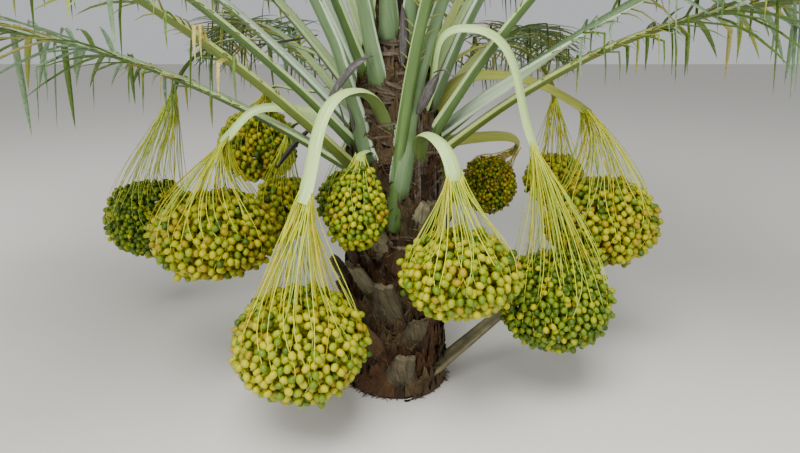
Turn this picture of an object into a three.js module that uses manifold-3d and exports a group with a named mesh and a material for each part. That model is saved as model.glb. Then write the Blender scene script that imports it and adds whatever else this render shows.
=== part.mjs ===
// A young date palm in full crop: a short trunk in its old leaf bases, a fountain of feather
// leaves, and heavy bunches of fruit that hang from arched stalks all round it.
//
// Units are millimetres and degrees. +Z is up, the origin is the middle of the trunk's flat cut
// at ground level, and the front faces -Y. Azimuths turn from +X (the right) towards +Y.

import * as THREE from "three";
import { mergeVertices } from "three/addons/utils/BufferGeometryUtils.js";
import Module from "manifold-3d";

const wasm = await Module();
wasm.setup();

// The clear space between neighbouring pieces that only touch on the real palm.
const GAP = 0.35;

// Trunk: [height, radius] pairs from the root flare to the growing tip.
const TRUNK_PROFILE = [
  [0, 184],
  [50, 172],
  [160, 162],
  [420, 156],
  [700, 158],
  [860, 146],
  [1000, 124],
  [1150, 94],
  [1300, 66],
  [1430, 42],
  [1500, 18],
];
const TRUNK_SIDES = 20;

// How far the stalks of leaves and fruit are let into the trunk before they are cut clear of it.
const LET_IN = 14;

// The block that cuts everything off flat at the ground: how far it reaches down, and across.
const GROUND_BLOCK = { deep: 400, wide: 2000 };

// Old leaf bases, cut back to stubs, in a spiral up the bare trunk. Lengths and leans vary by
// the shares given.
const BOOT = {
  count: 32,
  lowest: 8,
  highest: 590,
  rootWidth: 126,
  rootDepth: 60,
  endWidth: 66,
  endDepth: 30,
  length: 185,
  lengthVaries: 0.5,
  lean: 27,
  leanVaries: 0.6,
  sides: 4,
  seed: 11,
};

// One old leaf was cut long and slants up out of the trunk's foot, round to the right.
const OLD_STALK = {
  azimuth: 322,
  heading: 27,
  height: 48,
  rise: 29,
  length: 430,
  width: 62,
  depth: 34,
  endWidth: 44,
  endDepth: 27,
  sides: 6,
  room: 3,
};

// The angle between one leaf and the next on a palm.
const GOLDEN_ANGLE = 137.508;

// A leaf: a bare stalk with a flat face up, then leaflets in pairs along the rib to the tip. The
// rib has rings at stalkRings' shares of the stalk, and one for each pair. Turns are in degrees.
const LEAF = {
  stalkWidth: 54,
  stalkDepth: 34,
  neckWidth: 42,
  neckAt: 420,
  tipWidth: 7,
  tipDepth: 5,
  undersideShare: 0.56,
  narrowing: 0.6,
  thinning: 0.7,
  nodding: 1.5,
  leafletsFrom: 0.33,
  stalkRings: [0, 0.12, 0.3, 0.6],
  pairs: 13,
  leafletLength: 430,
  firstLeafletShare: 0.5,
  growth: 3.2,
  shortening: 0.62,
  shorteningPower: 2.2,
  sweepAtBase: 47,
  sweepAtTip: 61,
  sweepVaries: 6,
  liftWhenLow: -16,
  liftWhenUpright: 14,
  uprightRise: 80,
  sag: 50,
  lineStep: 10,
  seed: 7,
};

// The room that a leaflet is given: this much wider at its root and longer at its tip.
const LEAFLET_ROOM = { wider: 1.08, longer: 8 };

// A blocked leaflet is tried again at these lifts, and at shares of its reach, before it is left out.
const SECOND_TRIES = [
  { lift: 0, share: 1 },
  { lift: -16, share: 1 },
  { lift: 16, share: 1 },
  { lift: -30, share: 0.85 },
  { lift: 30, share: 0.85 },
  { lift: 0, share: 0.6 },
];

// Leaves: where each leaves the trunk, which way it heads where that isn't straight out, how
// steeply it rises there, how far it has nodded by its tip, and its length. Low ones come first.
const LEAVES = [
  { azimuth: 176, height: 795, rise: 31, nod: 62, length: 2450 },
  { azimuth: 218, height: 800, rise: 44, nod: 58, length: 2450 },
  { azimuth: 338, height: 925, rise: 56, nod: 60, length: 2500 },
  { azimuth: 355, height: 850, rise: 39, nod: 104, length: 2450 },
  { azimuth: 63, height: 860, rise: 28, nod: 56, length: 2400 },
  { azimuth: 92, height: 840, rise: 24, nod: 52, length: 2400 },
  { azimuth: 121, height: 850, rise: 30, nod: 58, length: 2400 },
  { azimuth: 201, height: 890, rise: 46, nod: 56, length: 2500 },
  { azimuth: 164, height: 925, rise: 44, nod: 54, length: 2500 },
  { azimuth: 144, height: 985, rise: 44, nod: 50, length: 2600 },
  { azimuth: 6, heading: 350, height: 900, rise: 40, nod: 60, length: 2500 },
  { azimuth: 66, height: 950, rise: 42, nod: 54, length: 2550 },
  { azimuth: 107, height: 960, rise: 46, nod: 54, length: 2600 },
  { azimuth: 214, height: 985, rise: 66, nod: 56, length: 2600 },
  { azimuth: 348, height: 1010, rise: 66, nod: 56, length: 2600 },
  { azimuth: 267, heading: 330, height: 640, rise: 84, nod: 66, length: 2650 },
  { azimuth: 286, heading: 340, height: 960, rise: 74, nod: 60, length: 2650 },
  { azimuth: 19, height: 1050, rise: 62, nod: 52, length: 2650 },
  { azimuth: 121, height: 1065, rise: 55, nod: 46, length: 2650 },
  { azimuth: 72, height: 1060, rise: 56, nod: 50, length: 2650 },
  { azimuth: 160, height: 1070, rise: 62, nod: 52, length: 2650 },
  { azimuth: 238, height: 1100, rise: 70, nod: 56, length: 2700 },
  { azimuth: 198, height: 1120, rise: 66, nod: 52, length: 2700 },
  { azimuth: 318, height: 1120, rise: 72, nod: 54, length: 2700 },
  { azimuth: 44, height: 1130, rise: 60, nod: 48, length: 2700 },
  { azimuth: 300, height: 1210, rise: 76, nod: 50, length: 2700 },
  { azimuth: 140, height: 1220, rise: 76, nod: 46, length: 2700 },
  { azimuth: 75, height: 1240, rise: 77, nod: 46, length: 2700 },
  { azimuth: 258, height: 1240, rise: 75, nod: 52, length: 2700 },
  { azimuth: 20, height: 1260, rise: 80, nod: 44, length: 2650 },
  { azimuth: 200, height: 1270, rise: 80, nod: 44, length: 2650 },
];

// The spear: the youngest leaves, still folded together, straight up from the growing tip. Its
// swell gives [share of the length, share of the width].
const SPEAR = {
  width: 62,
  length: 1750,
  sides: 6,
  swell: [
    [0, 0.55],
    [0.12, 0.9],
    [0.4, 1],
    [0.75, 0.6],
    [1, 0.08],
  ],
};

// Fruit stalks and bunches. Each stalk leaves the trunk at from, an azimuth and a height, and sets
// off at launch degrees. It arches over at top and ends at end, and its fruit hangs round mass.
// Those three are places given as [azimuth, radius, height]. A stiff stalk still slants outward
// where it ends, by the share slant of its fall, and some are turned about their own line, in
// degrees.
const BUNCHES = [
  { from: [255, 955], launch: 66, top: [241, 254, 1087], end: [234, 452, 783],
    mass: [233, 483, 362], width: 62, radius: 206, tall: 200, slant: 0.4 },
  { from: [303, 840], launch: 70, top: [294, 263, 960], end: [297, 386, 845],
    mass: [301, 389, 570], width: 52, radius: 178, tall: 154 },
  { from: [328, 1008], launch: 56, top: [320, 272, 1268], end: [342, 478, 895],
    mass: [346, 573, 394], width: 38, radius: 190, tall: 204, slant: 0.35, turned: 40 },
  { from: [28, 950], launch: 55, top: [20, 330, 1118], end: [10, 712, 985],
    mass: [9, 786, 600], width: 58, radius: 206, tall: 196, slant: 1.5, turned: 35 },
  { from: [182, 885], launch: 48, top: [185, 415, 1022], end: [190, 575, 915],
    mass: [189, 630, 621], width: 40, radius: 206, tall: 174, slant: 1, turned: -40 },
  { from: [124, 1000], launch: 30, top: [139, 859, 1238], end: [150, 1110, 998],
    mass: [156, 1190, 503], width: 28, radius: 188, tall: 200 },
  { from: [127, 925], launch: 50, top: [136, 515, 1045], end: [137, 752, 995],
    mass: [137, 840, 808], width: 34, radius: 168, tall: 186 },
  { from: [240, 850], launch: 60, top: [243, 207, 900], end: [246, 262, 882],
    mass: [245, 280, 733], width: 28, radius: 92, tall: 132 },
  { from: [25, 845], launch: 40, top: [24, 326, 895], end: [31, 540, 815],
    mass: [41, 505, 686], width: 46, radius: 106, tall: 142, turned: 50 },
  { from: [50, 1010], launch: 32, top: [52, 715, 1215], end: [42, 945, 970],
    mass: [40, 940, 648], width: 28, radius: 132, tall: 135 },
  { from: [154, 850], launch: 45, top: [152, 330, 950], end: [150, 478, 870],
    mass: [150, 530, 602], width: 32, radius: 108, tall: 158 },
  { from: [86, 925], launch: 50, top: [84, 420, 1120], end: [82, 640, 985],
    mass: [79, 700, 620], width: 42, radius: 180, tall: 180 },
  { from: [107, 890], launch: 45, top: [107, 340, 1020], end: [107, 520, 905],
    mass: [110, 556, 565], width: 38, radius: 155, tall: 165 },
];

// What hangs at the end of a stalk: strands that fan out, and fruit crowded round them. The single
// fruits stand half out of the crowd.
const BUNCH = {
  stalkSides: 6,
  stalkDepthShare: 0.42,
  stalkWiderAtTrunk: 0.12,
  stalkNarrowed: 0.92,
  stalkFlare: 0.3,
  stalkFlarePower: 5,
  stalkSteps: 4,
  stalkPull: 0.42,
  strandThickness: 10,
  strandSpread: 0.7,
  strandLevel: 0.4,
  fruits: 9,
  fruitRadius: 30,
  topFruit: 0.55,
  lowestFruit: -0.9,
  belly: 0.24,
  lumps: 0.08,
  firstSeed: 100,
};

const FINISHES = {
  trunk: { color: 0x4a3a2c, roughness: 0.95 },
  oldStalk: { color: 0x8d8468, roughness: 0.9 },
  leaf: { color: 0x6f8f4e, roughness: 0.6 },
  spear: { color: 0xa9b872, roughness: 0.6 },
  stalk: { color: 0xb3bf78, roughness: 0.55 },
  fruit: { color: 0xb9ad2c, roughness: 0.4 },
};

const UP = new THREE.Vector3(0, 0, 1);

// Seeded random numbers from 0 to 1, so that the palm is the same each time.
function randomFrom(seed) {
  let state = seed;
  return () => {
    state = (state * 1664525 + 1013904223) % 4294967296;
    return state / 4294967296;
  };
}

function polar(azimuth, radius, height) {
  const turn = THREE.MathUtils.degToRad(azimuth);
  return new THREE.Vector3(radius * Math.cos(turn), radius * Math.sin(turn), height);
}

function direction(azimuth, rise) {
  const tilt = THREE.MathUtils.degToRad(rise);
  return polar(azimuth, Math.cos(tilt), Math.sin(tilt));
}

// The value that a profile of [at, value] pairs has at some place along it.
function profileAt(profile, at) {
  for (let i = 1; i < profile.length; i++) {
    const [a, low] = profile[i - 1];
    const [b, high] = profile[i];
    if (at <= b) {
      return THREE.MathUtils.lerp(low, high, Math.max(at - a, 0) / (b - a));
    }
  }
  return profile.at(-1)[1];
}

// A closed geometry as a solid that can be joined and cut. Its shared corners are merged, and
// faces that merging has closed up are dropped.
function solidOf(geometry) {
  const bare = new THREE.BufferGeometry();
  bare.setAttribute("position", geometry.getAttribute("position"));
  if (geometry.index) bare.setIndex(geometry.index);
  const merged = mergeVertices(bare, 1e-3);
  const kept = [];
  for (let i = 0; i < merged.index.count; i += 3) {
    const [a, b, c] = [0, 1, 2].map((k) => merged.index.getX(i + k));
    if (a !== b && b !== c && c !== a) kept.push(a, b, c);
  }
  return new wasm.Manifold(
    new wasm.Mesh({
      numProp: 3,
      vertProperties: new Float32Array(merged.attributes.position.array),
      triVerts: new Uint32Array(kept),
    }),
  );
}

function geometryOf(solid) {
  const { numProp, vertProperties, triVerts } = solid.getMesh();
  const positions = new Float32Array((vertProperties.length / numProp) * 3);
  for (let i = 0; i < positions.length / 3; i++) {
    positions.set(vertProperties.subarray(i * numProp, i * numProp + 3), i * 3);
  }
  const geometry = new THREE.BufferGeometry();
  geometry.setAttribute("position", new THREE.BufferAttribute(positions, 3));
  geometry.setIndex(new THREE.BufferAttribute(triVerts, 1));
  geometry.computeVertexNormals();
  return geometry;
}

function geometryFrom(points, faces) {
  const numbers = points.flatMap((point) => point.toArray());
  const geometry = new THREE.BufferGeometry();
  geometry.setAttribute("position", new THREE.Float32BufferAttribute(numbers, 3));
  geometry.setIndex(faces.flat());
  return geometry;
}

// The faces of a skin over rings of points, closed at its first ring and open at its last. Each
// ring turns left round the way ahead.
function skinFaces(rings) {
  const n = rings[0].length;
  const faces = [];
  for (let k = 1; k + 1 < n; k++) faces.push([0, k + 1, k]);
  for (let i = 0; i + 1 < rings.length; i++) {
    for (let k = 0; k < n; k++) {
      const a = i * n + k;
      const b = i * n + ((k + 1) % n);
      faces.push([a, b, b + n], [a, b + n, a + n]);
    }
  }
  return faces;
}

// A closed skin over rings of points.
function loft(rings) {
  const n = rings[0].length;
  const last = (rings.length - 1) * n;
  const faces = skinFaces(rings);
  for (let k = 1; k + 1 < n; k++) faces.push([last, last + k, last + k + 1]);
  return geometryFrom(rings.flat(), faces);
}

// A flattened ring with the given number of sides across a limb.
function ovalRing(at, side, normal, width, depth, sides) {
  return Array.from({ length: sides }, (_, k) => {
    const turn = (2 * Math.PI * (k + 0.5)) / sides;
    return at
      .clone()
      .addScaledVector(side, (Math.cos(turn) * width) / 2)
      .addScaledVector(normal, (Math.sin(turn) * depth) / 2);
  });
}

// A place inside the trunk's skin, where a stalk starts.
function onTrunk(azimuth, height, depth = LET_IN) {
  return polar(azimuth, profileAt(TRUNK_PROFILE, height) - depth, height);
}

// The trunk's round core, grown by a margin all over.
function trunkCore(margin) {
  const outline = [new THREE.Vector2(0, -margin)];
  for (const [height, radius] of TRUNK_PROFILE) {
    outline.push(new THREE.Vector2(radius + margin, height === 0 ? -margin : height));
  }
  outline.push(new THREE.Vector2(0, TRUNK_PROFILE.at(-1)[0] + margin));
  return solidOf(new THREE.LatheGeometry(outline, TRUNK_SIDES).rotateX(Math.PI / 2));
}

function bootHeight(index) {
  return THREE.MathUtils.lerp(BOOT.lowest, BOOT.highest, index / (BOOT.count - 1));
}

// One old leaf base: a broad foot sunk in the trunk, leaning out to a flat cut end.
function makeBoot(index, random) {
  const azimuth = index * GOLDEN_ANGLE;
  const length = BOOT.length * (1 + BOOT.lengthVaries * (random() - 0.5));
  const lean = BOOT.lean * (1 + BOOT.leanVaries * (random() - 0.5));
  const along = direction(azimuth, 90 - lean);
  const side = direction(azimuth + 90, 0);
  const normal = along.clone().cross(side);
  const foot = onTrunk(azimuth, bootHeight(index), BOOT.rootDepth / 2);
  const head = foot.clone().addScaledVector(along, length);
  const rings = [
    ovalRing(foot, side, normal, BOOT.rootWidth, BOOT.rootDepth, BOOT.sides),
    ovalRing(head, side, normal, BOOT.endWidth, BOOT.endDepth, BOOT.sides),
  ];
  return solidOf(loft(rings));
}

// The trunk with its boots, but for those that would stand where the old stalk does.
function makeTrunk(stalkRoom) {
  const random = randomFrom(BOOT.seed);
  let trunk = trunkCore(0);
  for (let i = 0; i < BOOT.count; i++) {
    const boot = makeBoot(i, random);
    if (boot.intersect(stalkRoom).volume() === 0) trunk = trunk.add(boot);
  }
  const { deep, wide } = GROUND_BLOCK;
  return trunk.subtract(solidOf(new THREE.BoxGeometry(wide, wide, deep).translate(0, 0, -deep / 2)));
}

// The old stalk, grown by a margin across.
function makeOldStalk(margin) {
  const { azimuth, heading, height, rise, length } = OLD_STALK;
  const side = direction(heading + 90, 0);
  const along = direction(heading, rise);
  const normal = along.clone().cross(side);
  const foot = onTrunk(azimuth, height);
  const head = foot.clone().addScaledVector(along, length);
  const ring = (at, width, depth) =>
    ovalRing(at, side, normal, width + 2 * margin, depth + 2 * margin, OLD_STALK.sides);
  const root = ring(foot, OLD_STALK.width, OLD_STALK.depth);
  return solidOf(loft([root, ring(head, OLD_STALK.endWidth, OLD_STALK.endDepth)]));
}

// A leaf's line, as a function from the distance along it to a place there, the way ahead, the
// side and the flat face's normal. The leaf nods more and more towards its tip.
function leafLine({ azimuth, heading = azimuth, height, rise, nod, length }) {
  const step = LEAF.lineStep;
  const at = onTrunk(azimuth, height);
  const line = [{ at: at.clone(), along: direction(heading, rise) }];
  for (let s = step / 2; s < length; s += step) {
    const along = direction(heading, rise - nod * Math.pow(s / length, LEAF.nodding));
    at.addScaledVector(along, step);
    line.push({ at: at.clone(), along });
  }
  return (distance) => {
    const station = line[Math.min(Math.round(distance / step), line.length - 1)];
    const turned = Math.min(1, (2 * distance) / length);
    const facing = THREE.MathUtils.lerp(azimuth, heading, turned);
    const normal = station.along.clone().cross(direction(facing + 90, 0)).normalize();
    return { ...station, side: normal.clone().cross(station.along), normal };
  };
}

function leafWidth(leaf, distance) {
  if (distance < LEAF.neckAt) {
    const t = Math.pow(distance / LEAF.neckAt, LEAF.narrowing);
    return THREE.MathUtils.lerp(LEAF.stalkWidth, LEAF.neckWidth, t);
  }
  const t = (distance - LEAF.neckAt) / (leaf.length - LEAF.neckAt);
  return THREE.MathUtils.lerp(LEAF.neckWidth, LEAF.tipWidth, t);
}

function leafDepth(leaf, distance) {
  const t = Math.pow(distance / leaf.length, LEAF.thinning);
  return THREE.MathUtils.lerp(LEAF.stalkDepth, LEAF.tipDepth, t);
}

// The distances along a leaf where its rib has a ring: a few on the stalk, then one for each pair.
function leafStations(leaf) {
  const from = LEAF.leafletsFrom * leaf.length;
  const stalk = LEAF.stalkRings.map((share) => share * from);
  const step = (leaf.length - from) / LEAF.pairs;
  const blade = Array.from({ length: LEAF.pairs + 1 }, (_, i) => from + i * step);
  return [...stalk, ...blade];
}

// The rib's rings, of four points each: a wide flat top and a narrower underside.
function leafRings(leaf) {
  const line = leafLine(leaf);
  return leafStations(leaf).map((distance) => {
    const { at, side, normal } = line(distance);
    const half = leafWidth(leaf, distance) / 2;
    const low = half * LEAF.undersideShare;
    const depth = leafDepth(leaf, distance) / 2;
    const corner = (across, over) =>
      at.clone().addScaledVector(side, across).addScaledVector(normal, over);
    return [corner(half, depth), corner(-half, depth), corner(-low, -depth), corner(low, -depth)];
  });
}

// Leaflets are short at the blade's start, longest early on and short again at the tip.
function leafletReach(share) {
  const grown = Math.min(1, LEAF.firstLeafletShare + LEAF.growth * share);
  const shortened = LEAF.shortening * Math.pow(share, LEAF.shorteningPower);
  return LEAF.leafletLength * grown * (1 - shortened);
}

// The tip of a leaflet: swept forward and, on the older and lower leaves, hanging.
function leafletTip(leaf, station, tooth, attempt) {
  const { at, along, side, normal } = station;
  const reach = leafletReach(tooth.share) * attempt.share;
  const sweep = THREE.MathUtils.degToRad(
    THREE.MathUtils.lerp(LEAF.sweepAtBase, LEAF.sweepAtTip, tooth.share) + tooth.turn,
  );
  const upright = Math.min(1, leaf.rise / LEAF.uprightRise);
  const lift = THREE.MathUtils.degToRad(
    THREE.MathUtils.lerp(LEAF.liftWhenLow, LEAF.liftWhenUpright, upright) + attempt.lift,
  );
  return at
    .clone()
    .addScaledVector(along, reach * Math.cos(sweep))
    .addScaledVector(side, tooth.sign * reach * Math.sin(sweep))
    .addScaledVector(normal, reach * Math.sin(lift))
    .addScaledVector(UP, -LEAF.sag * (1 - upright) * attempt.share);
}

// A slightly larger spike than the leaflet's own, to test whether it has room.
function leafletRoom(face, tip) {
  const middle = face.reduce((sum, p) => sum.add(p), new THREE.Vector3()).divideScalar(4);
  const grow = (p) => p.clone().sub(middle).multiplyScalar(LEAFLET_ROOM.wider).add(middle);
  const further = tip.clone().sub(middle).setLength(LEAFLET_ROOM.longer).add(tip);
  const sides = [0, 1, 2, 3].map((k) => [k, (k + 1) % 4, 4]);
  return solidOf(geometryFrom([...face.map(grow), further], [...sides, [0, 2, 1], [0, 3, 2]]));
}

function boxOf(solid) {
  const { min, max } = solid.boundingBox();
  return new THREE.Box3(new THREE.Vector3(...min), new THREE.Vector3(...max));
}

// The solids that already stand in the crown, which a new leaflet has to stay clear of.
class Standing {
  constructor() {
    this.pieces = [];
  }

  add(owner, solid) {
    this.pieces.push({ owner, solid, box: boxOf(solid) });
  }

  blocks(solid, owner) {
    const box = boxOf(solid);
    return this.pieces.some((piece) => {
      if (piece.owner === owner || !piece.box.intersectsBox(box)) return false;
      return piece.solid.intersect(solid).volume() > 0;
    });
  }
}

// The tip of a leaflet that has room, or null where every try is blocked.
function clearTip(leaf, name, station, face, tooth, standing) {
  for (const attempt of SECOND_TRIES) {
    const tip = leafletTip(leaf, station, tooth, attempt);
    const room = leafletRoom(face, tip);
    if (standing.blocks(room, name)) continue;
    standing.add(name, room);
    return tip;
  }
  return null;
}

// A leaf is one thin blade: the rib, with a tooth for each leaflet that has room.
function makeLeaf(leaf, name, rings, standing, cutter, random) {
  const line = leafLine(leaf);
  const stations = leafStations(leaf);
  const points = rings.flat();
  const last = points.length - 4;
  const faces = [[0, 2, 1], [0, 3, 2], [last, last + 1, last + 2], [last, last + 2, last + 3]];
  const firstBlade = stations.length - 1 - LEAF.pairs;
  const sides = [
    { k: 0, sign: 0 },
    { k: 1, sign: -1 },
    { k: 2, sign: 0 },
    { k: 3, sign: 1 },
  ];
  for (let i = 0; i + 1 < rings.length; i++) {
    for (const { k, sign } of sides) {
      const a = i * 4 + k;
      const b = i * 4 + ((k + 1) % 4);
      const face = [a, b, b + 4, a + 4];
      const share = (i - firstBlade) / (LEAF.pairs - 1);
      const tooth = { share, sign, turn: LEAF.sweepVaries * (random() - 0.5) };
      const corners = face.map((c) => points[c]);
      const bare = sign === 0 || share < 0;
      const tip = bare ? null : clearTip(leaf, name, line(stations[i]), corners, tooth, standing);
      if (tip) {
        points.push(tip);
        const t = points.length - 1;
        face.forEach((c, j) => faces.push([c, face[(j + 1) % 4], t]));
      } else {
        faces.push([a, b, b + 4], [a, b + 4, a + 4]);
      }
    }
  }
  return solidOf(geometryFrom(points, faces)).subtract(cutter);
}

function makeSpear() {
  const side = new THREE.Vector3(1, 0, 0);
  const normal = new THREE.Vector3(0, 1, 0);
  const foot = TRUNK_PROFILE.at(-1)[0] + GAP;
  const rings = SPEAR.swell.map(([along, share]) => {
    const at = new THREE.Vector3(0, 0, foot + along * SPEAR.length);
    return ovalRing(at, side, normal, SPEAR.width * share, SPEAR.width * share, SPEAR.sides);
  });
  return solidOf(loft(rings));
}

// The two halves of a fruit stalk, up and over from the trunk and then down to the strands.
function stalkCurves({ from, launch, top, end, mass, slant = 0 }) {
  const start = onTrunk(...from);
  const [crest, tip, middle] = [top, end, mass].map((place) => polar(...place));
  const outward = tip.clone().sub(start).setZ(0).normalize();
  const hang = middle.clone().sub(tip).normalize().addScaledVector(outward, slant).normalize();
  const up = BUNCH.stalkPull * crest.distanceTo(start);
  const down = BUNCH.stalkPull * tip.distanceTo(crest);
  const rise = new THREE.CubicBezierCurve3(
    start,
    start.clone().addScaledVector(direction(from[0], launch), up),
    crest.clone().addScaledVector(outward, -up),
    crest,
  );
  const drop = new THREE.CubicBezierCurve3(
    crest,
    crest.clone().addScaledVector(outward, down),
    tip.clone().addScaledVector(hang, -down),
    tip,
  );
  return { rise, drop, outward, tip, middle };
}

// Rings along a stalk, which is a flat strap, wider where swell says so.
function strapRings(curve, outward, end, { width, turned = 0 }, swell) {
  const level = UP.clone().cross(outward).normalize();
  const depth = width * BUNCH.stalkDepthShare;
  return Array.from({ length: BUNCH.stalkSteps + 1 }, (_, i) => {
    const t = (end * i) / BUNCH.stalkSteps;
    const at = curve.getPoint(t);
    const ahead = curve.getTangent(t);
    const side = level.clone().applyAxisAngle(ahead, THREE.MathUtils.degToRad(turned));
    const normal = ahead.clone().cross(side).normalize();
    const share = swell(t);
    return ovalRing(at, side, normal, width * share, depth * share, BUNCH.stalkSides);
  });
}

function makeStalk(bunch, cutter) {
  const { rise, outward } = stalkCurves(bunch);
  const end = 1 - GAP / rise.getLength();
  const swell = (t) => 1 + BUNCH.stalkWiderAtTrunk * (1 - t);
  return solidOf(loft(strapRings(rise, outward, end, bunch, swell))).subtract(cutter);
}

// The lower half of a stalk, whose end splits into one three-sided strand for each of its sides.
function makeFan(rings, tip, middle, radius, tall) {
  const points = rings.flat();
  const faces = skinFaces(rings);
  const first = points.length - BUNCH.stalkSides;
  const centre = points.push(tip) - 1;
  for (let k = 0; k < BUNCH.stalkSides; k++) {
    const [a, b] = [first + k, first + ((k + 1) % BUNCH.stalkSides)];
    const rim = points[a].clone().add(points[b]).divideScalar(2);
    const out = rim.sub(tip).setZ(0).normalize();
    const across = points[b].clone().sub(points[a]).normalize();
    const end = middle
      .clone()
      .addScaledVector(out, BUNCH.strandSpread * radius)
      .addScaledVector(UP, BUNCH.strandLevel * tall);
    const half = BUNCH.strandThickness / 2;
    const [c, d, e] = [
      points.push(end.clone().addScaledVector(out, -half)) - 1,
      points.push(end.clone().addScaledVector(out, half).addScaledVector(across, -half)) - 1,
      points.push(end.clone().addScaledVector(out, half).addScaledVector(across, half)) - 1,
    ];
    faces.push([centre, a, d], [centre, d, c], [a, b, e], [a, e, d], [b, centre, c], [b, c, e]);
    faces.push([c, d, e]);
  }
  return solidOf(geometryFrom(points, faces));
}

// How wide the crowd is at a level from 1, its top, to -1: widest below its middle.
function bell(level) {
  return 1 - BUNCH.belly * level * (1 + level);
}

// The crowd of fruit: a lumpy bell.
function makeCrowd(middle, radius, tall, random) {
  const crowd = new THREE.IcosahedronGeometry(1, 1);
  const position = crowd.getAttribute("position");
  const lumps = new Map();
  for (let i = 0; i < position.count; i++) {
    const p = new THREE.Vector3().fromBufferAttribute(position, i);
    const corner = p.toArray().map((x) => x.toFixed(3)).join();
    if (!lumps.has(corner)) lumps.set(corner, 1 + BUNCH.lumps * (random() - 0.5));
    const lump = lumps.get(corner);
    const wide = radius * lump * bell(p.z);
    position.setXYZ(i, p.x * wide, p.y * wide, p.z * tall * lump);
  }
  return solidOf(crowd.translate(...middle.toArray()));
}

function makeBunch(bunch, random) {
  const { drop, outward, tip, middle } = stalkCurves(bunch);
  const radius = bunch.radius - BUNCH.fruitRadius / 4;
  const tall = bunch.tall - BUNCH.fruitRadius / 4;
  const swell = (t) => BUNCH.stalkNarrowed + BUNCH.stalkFlare * Math.pow(t, BUNCH.stalkFlarePower);
  const rings = strapRings(drop, outward, 1, bunch, swell);
  let solid = makeFan(rings, tip, middle, radius, tall).add(makeCrowd(middle, radius, tall, random));
  for (let i = 0; i < BUNCH.fruits; i++) {
    const level = THREE.MathUtils.lerp(BUNCH.topFruit, BUNCH.lowestFruit, (i + 0.5) / BUNCH.fruits);
    const wide = radius * bell(level) * Math.sqrt(1 - level * level);
    const at = middle.clone().add(polar(i * GOLDEN_ANGLE, wide, tall * level));
    const fruit = new THREE.OctahedronGeometry(BUNCH.fruitRadius, 0).rotateX(i);
    solid = solid.add(solidOf(fruit.translate(...at.toArray())));
  }
  return solid;
}

function makeMesh(name, solid, finish) {
  const material = new THREE.MeshStandardMaterial({ ...finish, metalness: 0 });
  const mesh = new THREE.Mesh(geometryOf(solid), material);
  mesh.name = name;
  return mesh;
}

function numbered(name, index) {
  return `${name}_${String(index + 1).padStart(2, "0")}`;
}

function makePalm() {
  const palm = new THREE.Group();
  const standing = new Standing();
  const cutter = trunkCore(GAP);
  const add = (name, solid, finish) => {
    palm.add(makeMesh(name, solid, finish));
    standing.add(name, solid);
  };

  add("trunk", makeTrunk(makeOldStalk(OLD_STALK.room)), FINISHES.trunk);
  add("old_leaf_stalk", makeOldStalk(0).subtract(cutter), FINISHES.oldStalk);
  add("spear_leaf", makeSpear(), FINISHES.spear);
  BUNCHES.forEach((bunch, i) => {
    add(numbered("fruit_stalk", i), makeStalk(bunch, cutter), FINISHES.stalk);
    add(numbered("fruit_bunch", i), makeBunch(bunch, randomFrom(BUNCH.firstSeed + i)), FINISHES.fruit);
  });

  // Every rib stands before the first leaflet is tried, so that no leaflet grows through one.
  const rings = LEAVES.map(leafRings);
  rings.forEach((set, i) => standing.add(numbered("leaf", i), solidOf(loft(set)).subtract(cutter)));
  const random = randomFrom(LEAF.seed);
  LEAVES.forEach((leaf, i) => {
    const name = numbered("leaf", i);
    const blade = makeLeaf(leaf, name, rings[i], standing, cutter, random);
    palm.add(makeMesh(name, blade, FINISHES.leaf));
  });
  return palm;
}

export default makePalm();
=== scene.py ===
# %% [markdown]
# A young date palm in full crop. The solids that this script loads give its trunk, leaves and
# bunches of fruit as plain closed shapes at their real size. Here each of them is replaced by
# what grows there: bark and old leaf bases, ribs with hundreds of leaflets, and strands
# threaded with dates. Everything is in metres, +Z is up and the front faces -Y.

# %% Load the frame
import math

import bmesh
import bpy
import numpy as np
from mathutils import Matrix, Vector


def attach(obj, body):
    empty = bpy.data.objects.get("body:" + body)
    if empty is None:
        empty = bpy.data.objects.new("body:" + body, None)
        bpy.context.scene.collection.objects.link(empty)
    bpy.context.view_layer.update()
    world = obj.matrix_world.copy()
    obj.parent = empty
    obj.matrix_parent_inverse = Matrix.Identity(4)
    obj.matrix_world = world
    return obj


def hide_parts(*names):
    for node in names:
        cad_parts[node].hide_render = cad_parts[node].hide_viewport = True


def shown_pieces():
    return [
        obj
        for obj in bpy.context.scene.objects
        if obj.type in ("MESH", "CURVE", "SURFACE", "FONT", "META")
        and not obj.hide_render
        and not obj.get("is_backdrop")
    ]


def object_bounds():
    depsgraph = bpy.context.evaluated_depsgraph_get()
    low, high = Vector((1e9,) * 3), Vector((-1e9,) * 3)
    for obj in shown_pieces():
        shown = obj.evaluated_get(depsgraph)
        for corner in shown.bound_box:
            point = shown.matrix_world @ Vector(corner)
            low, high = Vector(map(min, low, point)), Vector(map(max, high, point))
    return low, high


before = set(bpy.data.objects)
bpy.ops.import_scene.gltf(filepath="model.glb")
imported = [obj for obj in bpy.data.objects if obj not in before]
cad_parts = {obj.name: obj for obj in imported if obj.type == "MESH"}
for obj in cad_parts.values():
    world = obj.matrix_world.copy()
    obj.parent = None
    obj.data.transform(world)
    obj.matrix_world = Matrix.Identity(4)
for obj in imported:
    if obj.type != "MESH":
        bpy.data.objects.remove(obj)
cad_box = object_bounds()
NODES = sorted(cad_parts)
print(len(NODES), "solids, box", [round(x, 3) for corner in cad_box for x in corner])

# %% [markdown]
# The camera stands where the photographer stood, two metres in front of the trunk with the
# lens at chest height and tilted down. A wide lens is what lets the whole crop into a picture
# taken from so near, and it is why the front bunches look so much larger than the back ones.

# %% Camera
PHOTO_WIDTH_PX = 800
FOCAL_LENGTH_PX = 578
SENSOR_MM = 36
TILT_DOWN = 17.9
LENS_PLACE = (0.0171, -1.98, 1.235)

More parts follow.
